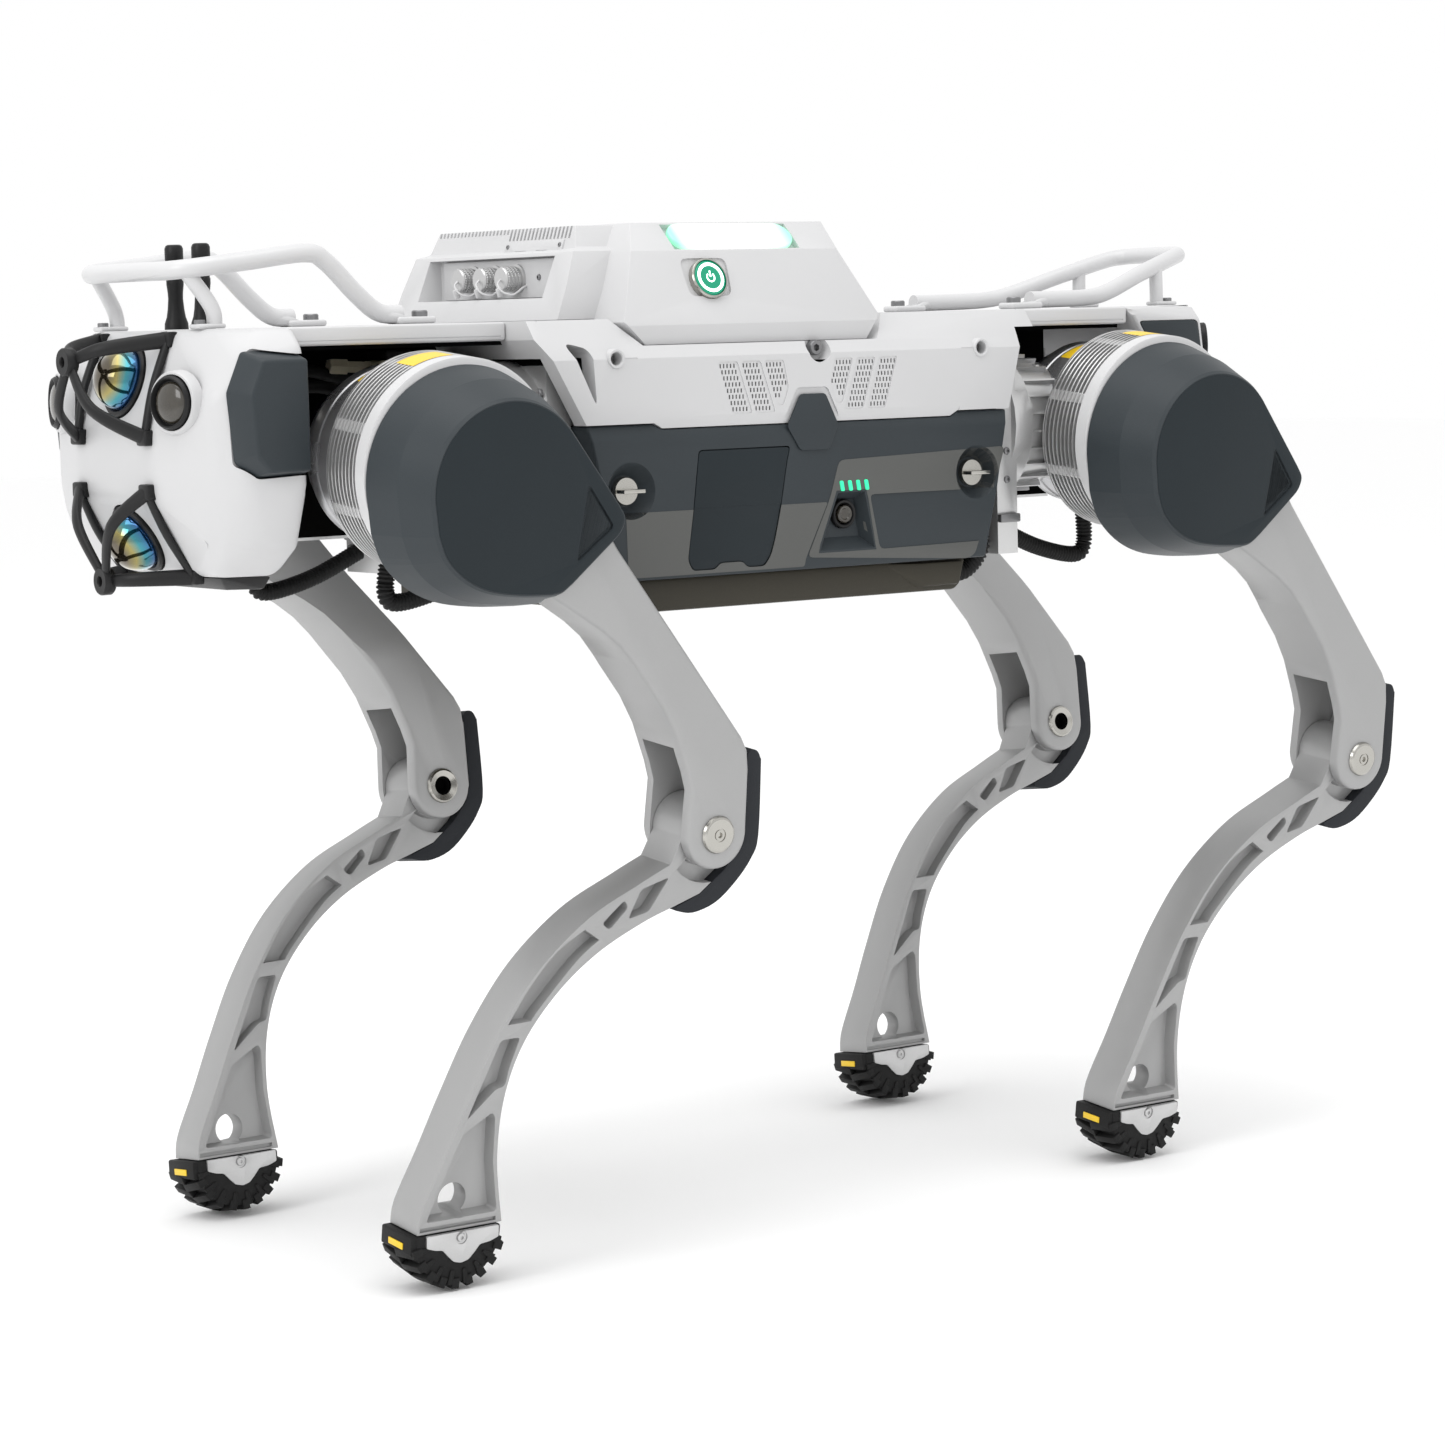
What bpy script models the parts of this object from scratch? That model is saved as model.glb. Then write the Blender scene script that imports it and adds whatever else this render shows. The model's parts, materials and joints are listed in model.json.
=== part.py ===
"""Four-legged inspection robot: rigid torso, sensor head, carrying rails and four three-joint legs.

Metres, +X towards the head, +Y to the robot's left, +Z up. The origin is on the ground
under the middle of the whole machine.
"""
import math

import bmesh
import bpy
from mathutils import Matrix, Vector

# Driving dimensions
MID_X = 0.0163          # middle of the four hips, from the middle of the whole length
HIP_X = 0.2923          # hip axes fore and aft of the middle of the hips
BASE_Z = -0.0047        # the drawing's zero height, from the ground
ROLL_Y = 0.0793         # hip roll axes either side of the centre plane
ROLL_Z = 0.5378         # height of the hip roll axes
LEAN = math.radians(6)  # the standing legs lean inwards, feet under the hips
LEG_O = 0.1157          # leg plane, outwards from the roll axis
KNEE = (-0.1753, -0.2410)   # knee pin from the hip, fore-aft and up
SOLE = (0.0120, -0.4850)    # centre of the half-wheel foot from the hip
GAP = 0.0003            # clearance between neighbouring pieces

COVER_IN = 0.0980       # hip cover, inner rim and outer face from the roll axis
COVER_OUT = 0.1520
COVER_ROUND = 0.0700    # radius of the cover's round end
MOTOR_ROUND = 0.0705
THIGH_IN, THIGH_OUT = 0.0892, 0.1422
HUB_ROUND = 0.0480
KNEE_ROUND = 0.0235
SLOT_WIDE = 0.0350      # slot between the two arms of the thigh
SLOT_ROUND = 0.0665
SHIN_WIDE = 0.0335
FOOT_WIDE = 0.0400
FOOT_ROUND = 0.0368
PIN_ROUND = 0.0080

BODY_Y = 0.1500         # half width of the torso
DECK_Y = 0.1080         # half width of the decks above the hips
DECK_TOP, DECK_LOW = 0.6190, 0.6067
SEAM_Z = 0.5470         # seam between the battery and the upper shell
BATTERY_LOW = 0.4480
TRAY_LOW = 0.4260
SHELL_ROOF = 0.5945     # underside of the shell over the bulkheads
BULKHEAD_X = 0.1790
BULKHEAD_THICK = 0.0180
RAIL_ROUND = 0.0060     # carrying rails
PORT_FACE_X = 0.1440    # bay in the computer's front face
PORT_BAY_Y = 0.0780

FORE, AFT = 1, -1
LEFT, RIGHT = 1, -1
CORNERS = (
    ("front_left", FORE, LEFT),
    ("front_right", FORE, RIGHT),
    ("rear_left", AFT, LEFT),
    ("rear_right", AFT, RIGHT),
)

for old in list(bpy.data.objects):
    bpy.data.objects.remove(old, do_unlink=True)


def new_collection(name):
    collection = bpy.data.collections.new(name)
    bpy.context.scene.collection.children.link(collection)
    return collection


ROBOT = new_collection("quadruped_robot")
CUTTERS = new_collection("cutters")


# Materials
def material(name, colour, roughness, metallic=0.0):
    made = bpy.data.materials.get(name)
    if made:
        return made
    made = bpy.data.materials.new(name)
    made.use_nodes = True
    surface = made.node_tree.nodes["Principled BSDF"]
    surface.inputs["Base Color"].default_value = (*colour, 1.0)
    surface.inputs["Roughness"].default_value = roughness
    surface.inputs["Metallic"].default_value = metallic
    return made


def white_plastic():
    return material("white_plastic", (0.86, 0.86, 0.86), 0.45)


def slate_plastic():
    return material("slate_plastic", (0.085, 0.105, 0.125), 0.55)


def cast_aluminium():
    return material("cast_aluminium", (0.62, 0.62, 0.62), 0.38, 0.85)


def polished_steel():
    return material("polished_steel", (0.72, 0.71, 0.69), 0.22, 1.0)


def black_rubber():
    return material("black_rubber", (0.02, 0.02, 0.02), 0.8)


def black_plastic():
    return material("black_plastic", (0.035, 0.035, 0.037), 0.5)


def white_paint():
    return material("white_paint", (0.85, 0.85, 0.85), 0.35, 0.1)


def mirror_glass():
    return material("mirror_glass", (0.05, 0.12, 0.22), 0.05, 0.9)


def lamp_white():
    return material("lamp_white", (0.85, 1.0, 0.94), 0.3)


# Making and placing
def axis_empty(name, location, parent=None, lean=0.0):
    """An empty on a joint axis or at a frame's origin, which carries the pieces of one body."""
    empty = bpy.data.objects.new(name, None)
    ROBOT.objects.link(empty)
    empty.location = location
    empty.rotation_euler = (lean, 0, 0)
    empty.parent = parent
    return empty


def add_mesh(name, mesh_data, parent, surface):
    made = bpy.data.objects.new(name, mesh_data)
    made.parent = parent
    if surface is None:
        CUTTERS.objects.link(made)
        made.hide_render = True
        made.display_type = "WIRE"
    else:
        ROBOT.objects.link(made)
        mesh_data.materials.append(surface)
    return made


def mesh_from(maker, name="shape"):
    """A mesh made by maker(bm), with its normals facing out."""
    bm = bmesh.new()
    maker(bm)
    bmesh.ops.recalc_face_normals(bm, faces=bm.faces)
    mesh_data = bpy.data.meshes.new(name)
    bm.to_mesh(mesh_data)
    bm.free()
    return mesh_data


def plate(name, outline, thickness, frame, parent, surface=None, holes=()):
    """A flat outline in frame's XY plane, filled as a 2D curve and extruded about that plane."""
    curve = bpy.data.curves.new(name, "CURVE")
    curve.dimensions = "2D"
    curve.fill_mode = "BOTH"
    curve.extrude = thickness / 2
    for ring in (outline, *holes):
        spline = curve.splines.new("POLY")
        spline.points.add(len(ring) - 1)
        for point, (x, y) in zip(spline.points, ring):
            point.co = (x, y, 0, 1)
        spline.use_cyclic_u = True
    flat = bpy.data.objects.new(name + "_outline", curve)
    bpy.context.scene.collection.objects.link(flat)
    bpy.context.view_layer.update()
    shape = bpy.data.meshes.new_from_object(flat.evaluated_get(bpy.context.evaluated_depsgraph_get()))
    bpy.data.objects.remove(flat, do_unlink=True)
    bm = bmesh.new()
    bm.from_mesh(shape)
    bmesh.ops.remove_doubles(bm, verts=bm.verts, dist=0.00001)
    bmesh.ops.dissolve_limit(bm, angle_limit=0.001, verts=bm.verts, edges=bm.edges)
    bmesh.ops.recalc_face_normals(bm, faces=bm.faces)
    bm.to_mesh(shape)
    bm.free()
    made = add_mesh(name, shape, parent, surface)
    made.matrix_basis = frame
    return made


def side_frame(y, x=0.0, z=0.0):
    """A frame whose X is forward and whose Y is up, so that outlines are side views."""
    return Matrix.Translation((x, y, z)) @ Matrix.Rotation(math.pi / 2, 4, "X")


def front_frame(x):
    """A frame whose X is to the robot's left and whose Y is up, so that outlines are front views."""
    return Matrix.Translation((x, 0, 0)) @ Matrix.Rotation(math.pi / 2, 4, "Z") @ Matrix.Rotation(
        math.pi / 2, 4, "X")


def box(name, low, high, parent, surface=None):
    low, high = Vector(low), Vector(high)
    size = high - low

    def maker(bm):
        bmesh.ops.create_cube(bm, size=1.0, matrix=Matrix.Diagonal((*size, 1.0)))

    made = add_mesh(name, mesh_from(maker), parent, surface)
    made.location = (low + high) / 2
    return made


def rod(name, radius, start, end, parent, surface=None, sides=24, end_radius=None):
    """A cylinder, or a cone where end_radius is given, from start to end."""
    start, end = Vector(start), Vector(end)
    along = end - start

    def maker(bm):
        bmesh.ops.create_cone(
            bm, cap_ends=True, segments=sides, radius1=radius,
            radius2=radius if end_radius is None else end_radius, depth=along.length)

    made = add_mesh(name, mesh_from(maker), parent, surface)
    turn = along.to_track_quat("Z", "Y").to_matrix().to_4x4()
    made.matrix_basis = Matrix.Translation((start + end) / 2) @ turn
    shade_round(made)
    return made


def turned(name, profile, frame, parent, surface=None, steps=24):
    """A profile of (radius, height) pairs, top to bottom, screwed about the frame's Z."""
    mesh_data = bpy.data.meshes.new(name)
    points = [(radius, 0, height) for radius, height in profile]
    mesh_data.from_pydata(points, [(i, i + 1) for i in range(len(points) - 1)], [])
    made = add_mesh(name, mesh_data, parent, surface)
    screw = made.modifiers.new("Screw", "SCREW")
    screw.steps = steps
    screw.render_steps = steps
    screw.use_merge_vertices = True
    screw.merge_threshold = 0.00005
    screw.use_smooth_shade = False
    made.matrix_basis = frame
    return made


def hull(name, points, parent, surface=None):
    """The solid inside a set of corner points."""

    def maker(bm):
        for point in points:
            bm.verts.new(point)
        bmesh.ops.convex_hull(bm, input=bm.verts)
        bmesh.ops.dissolve_limit(bm, angle_limit=0.01, verts=bm.verts, edges=bm.edges)

    return add_mesh(name, mesh_from(maker), parent, surface)


def loft(name, rings, parent, surface=None):
    """Closed rings of the same number of points, skinned from the first to the last and capped."""

    def maker(bm):
        loops = [[bm.verts.new(point) for point in ring] for ring in rings]
        for low, high in zip(loops, loops[1:]):
            for i in range(len(low)):
                j = (i + 1) % len(low)
                bm.faces.new((low[i], low[j], high[j], high[i]))
        bm.faces.new(loops[0])
        bm.faces.new(loops[-1])

    return add_mesh(name, mesh_from(maker), parent, surface)


def tube(name, points, radius, parent, surface, sides=2):
    """A round bar along points, made a mesh so that others can be joined to it."""
    curve = bpy.data.curves.new(name, "CURVE")
    curve.dimensions = "3D"
    curve.bevel_depth = radius
    curve.bevel_resolution = sides
    curve.use_fill_caps = True
    spline = curve.splines.new("POLY")
    spline.points.add(len(points) - 1)
    for point, place in zip(spline.points, points):
        point.co = (*place, 1)
    bar = bpy.data.objects.new(name + "_line", curve)
    bpy.context.scene.collection.objects.link(bar)
    bpy.context.view_layer.update()
    shape = bpy.data.meshes.new_from_object(bar.evaluated_get(bpy.context.evaluated_depsgraph_get()))
    bpy.data.objects.remove(bar, do_unlink=True)
    bm = bmesh.new()
    bm.from_mesh(shape)
    bmesh.ops.remove_doubles(bm, verts=bm.verts, dist=0.00001)
    bmesh.ops.recalc_face_normals(bm, faces=bm.faces)
    bm.to_mesh(shape)
    bm.free()
    return add_mesh(name, shape, parent, surface)


def boolean(target, tool, operation):
    step = target.modifiers.new(operation.title(), "BOOLEAN")
    step.operation = operation
    step.solver = "EXACT"
    step.object = tool
    return target


def cut(target, *tools):
    for tool in tools:
        boolean(target, tool, "DIFFERENCE")
    return target


def join(target, *tools):
    for tool in tools:
        boolean(target, tool, "UNION")
    return target


def soften(target, width, segments=1, angle=35):
    bevel = target.modifiers.new("Bevel", "BEVEL")
    bevel.width = width
    bevel.segments = segments
    bevel.limit_method = "ANGLE"
    bevel.angle_limit = math.radians(angle)
    return target


def shade_round(target):
    target.data.shade_smooth()
    target.data.set_sharp_from_angle(angle=math.radians(35))


# Outlines
def arc(centre, radius, first, last, count):
    """Points of an arc, angles in degrees, counterclockwise when last is the larger."""
    points = []
    for i in range(count):
        angle = math.radians(first + (last - first) * i / (count - 1))
        points.append((centre[0] + radius * math.cos(angle), centre[1] + radius * math.sin(angle)))
    return points


def through(controls, steps):
    """A smooth line through the control points, steps points to each span."""
    vectors = [Vector(c) for c in controls]
    line = []
    for i in range(len(vectors) - 1):
        before = vectors[max(i - 1, 0)]
        start, end = vectors[i], vectors[i + 1]
        after = vectors[min(i + 2, len(vectors) - 1)]
        for k in range(steps):
            t = k / steps
            line.append(0.5 * (
                2 * start + (end - before) * t
                + (2 * before - 5 * start + 4 * end - after) * t * t
                + (3 * start - before - 3 * end + after) * t ** 3))
    line.append(vectors[-1])
    return [tuple(point) for point in line]


def scaled(points, factor, centre):
    return [(centre[0] + (x - centre[0]) * factor, centre[1] + (y - centre[1]) * factor) for x, y in points]


def mirrored(points):
    """A list of points and their mirror images in the centre plane."""
    return list(points) + [(x, -y, z) for x, y, z in points]


# Legs. Each is drawn in its own frame: x forward, y outwards times side, z up, from the roll axis.
def cover_outline():
    """Side view of the hip cover: round about the hip, drawn out along the thigh and cut square."""
    return arc((0.0, -0.004), COVER_ROUND, -12, 141, 13) + [
        (-0.1030, -0.0215), (-0.1085, -0.0300), (-0.1050, -0.0410),
        (-0.0600, -0.0790), (-0.0520, -0.0860), (-0.0420, -0.0880),
        (0.0120, -0.0830), (0.0400, -0.0760), (0.0560, -0.0650), (0.0660, -0.0450)]


def cover_loft(name, sections, side, parent, surface=None):
    outline = cover_outline()
    centre = (-0.012, -0.016)
    rings = [[(x, side * o, z) for x, z in scaled(outline, factor, centre)] for o, factor in sections]
    return loft(name, rings, parent, surface)


def thigh_outline():
    """Side view of the thigh: a hub at the hip, a straight arm that turns down, a round knee."""
    return (
        arc((0, 0), HUB_ROUND, -75, 150, 14)
        + [(-0.0905, -0.0490), (-0.1205, -0.0863), (-0.1925, -0.1775), (-0.1990, -0.2000)]
        + arc(KNEE, KNEE_ROUND, 176, 364, 10)
        + [(-0.1536, -0.2106), (-0.1397, -0.1725), (-0.1058, -0.1242), (-0.0801, -0.1008),
           (-0.0529, -0.0838), (-0.0200, -0.0640)])


def arm_clearance():
    """The room that the thigh's arm takes in the hip cover."""
    return [(-0.0350, 0.0250), (-0.0925, -0.0475), (-0.1400, -0.1075), (-0.0760, -0.1330),
            (-0.0510, -0.0870), (-0.0180, -0.0665), (0.0200, -0.0450)]


def knee_point(dx, dz):
    return (KNEE[0] + dx, KNEE[1] + dz)


def shin_outline():
    """Side view of the shin: knuckle about the pin, then two S-curved edges down to the foot."""
    rear = through([
        (-0.1495, -0.2880), (-0.1240, -0.2965), (-0.0900, -0.3125), (-0.0600, -0.3350),
        (-0.0350, -0.3650), (-0.0210, -0.4000), (-0.0170, -0.4400), (-0.0215, -0.4815)], 3)
    front = through([
        (0.0415, -0.4815), (0.0385, -0.4660), (0.0230, -0.4350), (0.0070, -0.4010),
        (-0.0150, -0.3590), (-0.0440, -0.3200), (-0.0820, -0.2890), (-0.1220, -0.2700),
        (-0.1450, -0.2600)], 3)
    web = [knee_point(-0.0195, 0.0440), knee_point(-0.0285, 0.0440), knee_point(-0.0285, -0.0020)]
    heel = [knee_point(*p) for p in ((-0.0245, -0.0130), (-0.0120, -0.0270), (0.0060, -0.0405))]
    knuckle = arc(KNEE, 0.0215, -5, 112, 9)
    return web + heel + rear + front + knuckle


def guard_outline():
    """Side view of the rubber strip behind and under the knee."""
    outer = [(-0.0285, 0.0520), (-0.0360, 0.0510), (-0.0410, 0.0430), (-0.0410, -0.0060),
             (-0.0350, -0.0210), (-0.0230, -0.0355), (-0.0070, -0.0480), (0.0110, -0.0530),
             (0.0240, -0.0505)]
    inner = [(0.0240, -0.0475), (0.0060, -0.0410), (-0.0124, -0.0275), (-0.0250, -0.0132),
             (-0.0290, -0.0022), (-0.0290, 0.0445)]
    return [knee_point(*p) for p in outer + inner]


def tread_outline():
    """Half a lugged wheel, flat side up, with lugs round its rim."""
    lugs = 9
    points = []
    for i in range(lugs):
        first = 188 + i * (346 - 188) / (lugs - 1)
        root = FOOT_ROUND - 0.0045
        for offset, radius in ((-5.5, root), (-4.5, FOOT_ROUND), (4.5, FOOT_ROUND), (5.5, root)):
            angle = math.radians(first + offset)
            points.append((SOLE[0] + radius * math.cos(angle), SOLE[1] + radius * math.sin(angle)))
    top = SOLE[1] + 0.0028
    return points + [(SOLE[0] + 0.0325, top), (SOLE[0] - 0.0325, top)]


def leg_plate(name, outline, low, high, side, parent, surface=None):
    return plate(name, outline, high - low, side_frame(side * (low + high) / 2), parent, surface)


def make_hip_motor(name, end, side, parent):
    """The pitch motor's drum and the boss that joins it to the roll actuator."""
    profile = [
        (0, 0.0975), (MOTOR_ROUND, 0.0975), (MOTOR_ROUND, 0.0660), (0.0670, 0.0655),
        (0.0670, 0.0600), (MOTOR_ROUND, 0.0595), (MOTOR_ROUND, 0.0500), (0.0580, 0.0440),
        (0.0580, 0.0060), (0.0460, -0.0180), (0, -0.0180)]
    frame = Matrix.Rotation(-side * math.pi / 2, 4, "X")
    motor = turned(name, profile, frame, parent, cast_aluminium())
    inner = HIP_X - BULKHEAD_X - BULKHEAD_THICK - 0.0110 - GAP
    boss = rod(name + "_boss", 0.0500, (-end * inner, 0, 0), (-end * 0.02, 0, 0), parent)
    return join(motor, boss)


def make_hip_cover(name, side, parent):
    shell = cover_loft(
        name, [(COVER_IN, 1.0), (0.125, 0.905), (0.1490, 0.835), (COVER_OUT, 0.800)],
        side, parent, slate_plastic())
    pocket = cover_loft(
        name + "_pocket", [(COVER_IN - 0.003, 0.945), (0.125, 0.850), (0.1460, 0.785)], side, parent)
    way_out = leg_plate(name + "_way_out", arm_clearance(), COVER_IN - 0.003, 0.1428, side, parent)
    mark = leg_plate(
        name + "_mark", [(-0.0610, -0.0150), (-0.0760, -0.0400), (-0.0620, -0.0570)],
        COVER_OUT - 0.0015, COVER_OUT + 0.002, side, parent)
    return cut(shell, pocket, way_out, mark)


def make_thigh(name, side, parent):
    thigh = leg_plate(name, thigh_outline(), THIGH_IN, THIGH_OUT, side, parent, cast_aluminium())
    soften(thigh, 0.0025)
    slot = rod(
        name + "_slot", SLOT_ROUND, (KNEE[0], side * (LEG_O - SLOT_WIDE / 2), KNEE[1]),
        (KNEE[0], side * (LEG_O + SLOT_WIDE / 2), KNEE[1]), parent, sides=32)
    bore = rod(
        name + "_bore", PIN_ROUND + GAP, (KNEE[0], side * 0.08, KNEE[1]),
        (KNEE[0], side * 0.15, KNEE[1]), parent, sides=16)
    relief = loft(
        name + "_relief",
        [[(x, side * o, z) for x, z, o in (
            (0.100, -0.015, 0.080), (-0.160, -0.015, 0.080), (-0.160, -0.190, 0.080),
            (0.100, -0.190, 0.080))],
         [(x, side * o, z) for x, z, o in (
             (0.100, 0.150, COVER_IN + 0.002), (-0.160, 0.150, COVER_IN + 0.002),
             (-0.160, -0.085, COVER_IN + 0.002), (0.100, -0.085, COVER_IN + 0.002))]],
        parent)
    deep = box(
        name + "_deep", (-0.16, min(side * 0.08, side * (COVER_IN + 0.002)), -0.0849),
        (0.10, max(side * 0.08, side * (COVER_IN + 0.002)), 0.10), parent)
    return cut(thigh, relief, deep, slot, bore)


def make_knee_pin(name, side, parent):
    """A through pin with a broad flat cap on each side, the inner one with an open bore."""
    inner, outer = THIGH_IN - GAP, THIGH_OUT + GAP
    profile = [
        (0, outer + 0.0025), (0.0115, outer + 0.0025), (0.0125, outer), (PIN_ROUND, outer),
        (PIN_ROUND, inner), (0.0125, inner), (0.0115, inner - 0.0022),
        (0.0060, inner - 0.0022), (0.0060, inner + 0.0080), (0, inner + 0.0080)]
    frame = Matrix.Translation((KNEE[0], 0, KNEE[1])) @ Matrix.Rotation(-side * math.pi / 2, 4, "X")
    return turned(name, profile, frame, parent, polished_steel(), steps=16)


def shin_pockets():
    """Side views of the recesses milled in each side of the shin, from the knee down."""
    return (
        [(-0.1225, -0.2740), (-0.1450, -0.2680), (-0.1290, -0.2895), (-0.1128, -0.2930)],
        [(-0.1100, -0.2795), (-0.1130, -0.2850), (-0.0985, -0.2985), (-0.0925, -0.2935)],
        through([(-0.0796, -0.2960), (-0.0590, -0.3080), (-0.0395, -0.3280), (-0.0225, -0.3520)], 3)
        + through([(-0.0400, -0.3515), (-0.0480, -0.3420), (-0.0740, -0.3160), (-0.0910, -0.3040)], 3),
        [(-0.0176, -0.3610), (-0.0325, -0.3608), (-0.0245, -0.3800), (-0.0215, -0.3920),
         (-0.0150, -0.3930), (0.0070, -0.4110)],
        [(0.0095, -0.4195), (-0.0125, -0.4075), (-0.0150, -0.4110), (-0.0140, -0.4400),
         (-0.0165, -0.4640), (-0.0180, -0.4745), (0.0360, -0.4745), (0.0265, -0.4540)],
    )


def make_shin(name, side, parent):
    low, high = LEG_O - SHIN_WIDE / 2, LEG_O + SHIN_WIDE / 2
    shin = leg_plate(name, shin_outline(), low, high, side, parent, cast_aluminium())
    depth = 0.0100
    for number, outline in enumerate(shin_pockets()):
        for face, (bottom, top) in enumerate(((low - 0.002, low + depth), (high - depth, high + 0.002))):
            cut(shin, leg_plate(f"{name}_pocket_{number}_{face}", outline, bottom, top, side, parent))
    eye = rod(
        name + "_eye", 0.0105, (0.0105, side * (low - 0.01), -0.4640),
        (0.0105, side * (high + 0.01), -0.4640), parent, sides=20)
    bore = rod(
        name + "_bore", PIN_ROUND + GAP, (KNEE[0], side * (low - 0.01), KNEE[1]),
        (KNEE[0], side * (high + 0.01), KNEE[1]), parent, sides=16)
    return cut(shin, eye, bore)


def make_knee_guard(name, side, parent):
    wide = SHIN_WIDE
    return leg_plate(
        name, guard_outline(), LEG_O - wide / 2, LEG_O + wide / 2, side, parent, black_rubber())


def make_foot(name, side, parent):
    foot = leg_plate(
        name, tread_outline(), LEG_O - FOOT_WIDE / 2, LEG_O + FOOT_WIDE / 2, side, parent,
        black_rubber())
    return foot


def make_hose(name, end, side, parent):
    """A corrugated hose from the end of the torso, out and up into the underside of the motor."""
    y = side * 0.0160
    route = through([
        (-end * (HIP_X - 0.2120), y, -0.0720), (-end * (HIP_X - 0.2500), y, -0.0880),
        (-end * (HIP_X - 0.2860), y, -0.0960), (end * 0.0040, y, -0.0890),
        (end * 0.0020, y, -0.0655)], 4)
    return tube(name, route, 0.0060, parent, black_rubber(), sides=2)


def make_leg(corner, end, side, body):
    centre = (end * HIP_X, side * ROLL_Y, ROLL_Z)
    hip = axis_empty(corner + "_hip_roll_axis", centre, body, -side * LEAN)
    pitch = axis_empty(corner + "_hip_pitch_axis", (0, 0, 0), hip)
    knee = axis_empty(corner + "_knee_axis", (KNEE[0], 0, KNEE[1]), pitch)
    knee_origin = axis_empty(corner + "_shin_frame", (-KNEE[0], 0, -KNEE[1]), knee)
    make_hip_motor(corner + "_hip_motor", end, side, hip)
    make_hose(corner + "_hip_hose", end, side, hip)
    make_hip_cover(corner + "_hip_cover", side, pitch)
    make_thigh(corner + "_thigh", side, pitch)
    make_knee_pin(corner + "_knee_pin", side, pitch)
    make_shin(corner + "_shin", side, knee_origin)
    make_knee_guard(corner + "_knee_guard", side, knee_origin)
    make_foot(corner + "_foot", side, knee_origin)


# Torso
def make_chassis(body):
    """Spine webs, end bulkheads with the roll actuators' flanges, top plate and head plate."""
    outer = BULKHEAD_X + BULKHEAD_THICK
    top = 0.5560
    chassis = box("chassis", (-outer, -0.12, SEAM_Z + 0.0034), (outer, 0.12, top), body, cast_aluminium())
    for end in (FORE, AFT):
        near, far = sorted((end * BULKHEAD_X, end * outer))
        join(chassis, box(f"bulkhead_{end}", (near, -0.1300, BATTERY_LOW), (far, 0.1300, 0.5900), body))
        reach = 0.3700 if end > 0 else 0.3220
        low, high = sorted((end * (outer - 0.004), end * reach))
        join(chassis, box(f"web_{end}", (low, -0.0170, 0.4800), (high, 0.0170, 0.5900), body))
        for side in (LEFT, RIGHT):
            join(chassis, rod(
                f"flange_{end}_{side}", 0.0560, (end * (outer - 0.004), side * ROLL_Y, ROLL_Z),
                (end * (outer + 0.0110), side * ROLL_Y, ROLL_Z), body, sides=28))
    return chassis


def make_torso_shell(body):
    """White upper shell: raised ends, a ledge for the computer module, slanted front struts."""
    side_view = [
        (-0.1745, SEAM_Z + 0.0036), (-0.1290, SEAM_Z + 0.0036), (-0.1230, SEAM_Z),
        (0.1190, SEAM_Z), (0.1260, SEAM_Z + 0.0036), (0.1800, SEAM_Z + 0.0036),
        (0.2120, DECK_LOW), (0.2120, DECK_TOP), (0.1480, DECK_TOP), (0.1300, 0.6012),
        (-0.0640, 0.6012), (-0.0780, DECK_TOP), (-0.2060, DECK_TOP), (-0.2060, DECK_LOW),
        (-0.1890, DECK_LOW)]
    shell = plate("torso_shell", side_view, 2 * BODY_Y, side_frame(0), body, white_plastic())
    section = [
        (-BODY_Y, 0.52), (BODY_Y, 0.52), (BODY_Y, 0.5930), (BODY_Y - 0.0060, 0.6015),
        (0.1300, DECK_TOP + 0.001), (-0.1300, DECK_TOP + 0.001), (-BODY_Y + 0.0060, 0.6015),
        (-BODY_Y, 0.5930)]
    boolean(shell, plate("shell_section", section, 0.60, front_frame(0), body), "INTERSECT")
    outer = BULKHEAD_X + BULKHEAD_THICK
    cut(shell, box(
        "shell_hollow", (-outer - GAP, -0.1360, 0.50), (outer + GAP, 0.1360, SHELL_ROOF), body))
    cut(shell, box("shell_hollow_ends", (-0.25, -0.1360, 0.50), (-0.15, 0.1360, SHELL_ROOF), body))
    cut(shell, box("shell_hollow_nose", (0.15, -0.1360, 0.50), (0.25, 0.1360, SHELL_ROOF), body))
    return shell


def make_deck(name, start, end, body):
    """A flat deck panel above a hip bay, with a folded rim along each side."""
    low, high = sorted((start, end))
    deck = box(name, (low, -DECK_Y, DECK_LOW), (high, DECK_Y, DECK_TOP), body, white_paint())
    return soften(deck, 0.0015)


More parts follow.
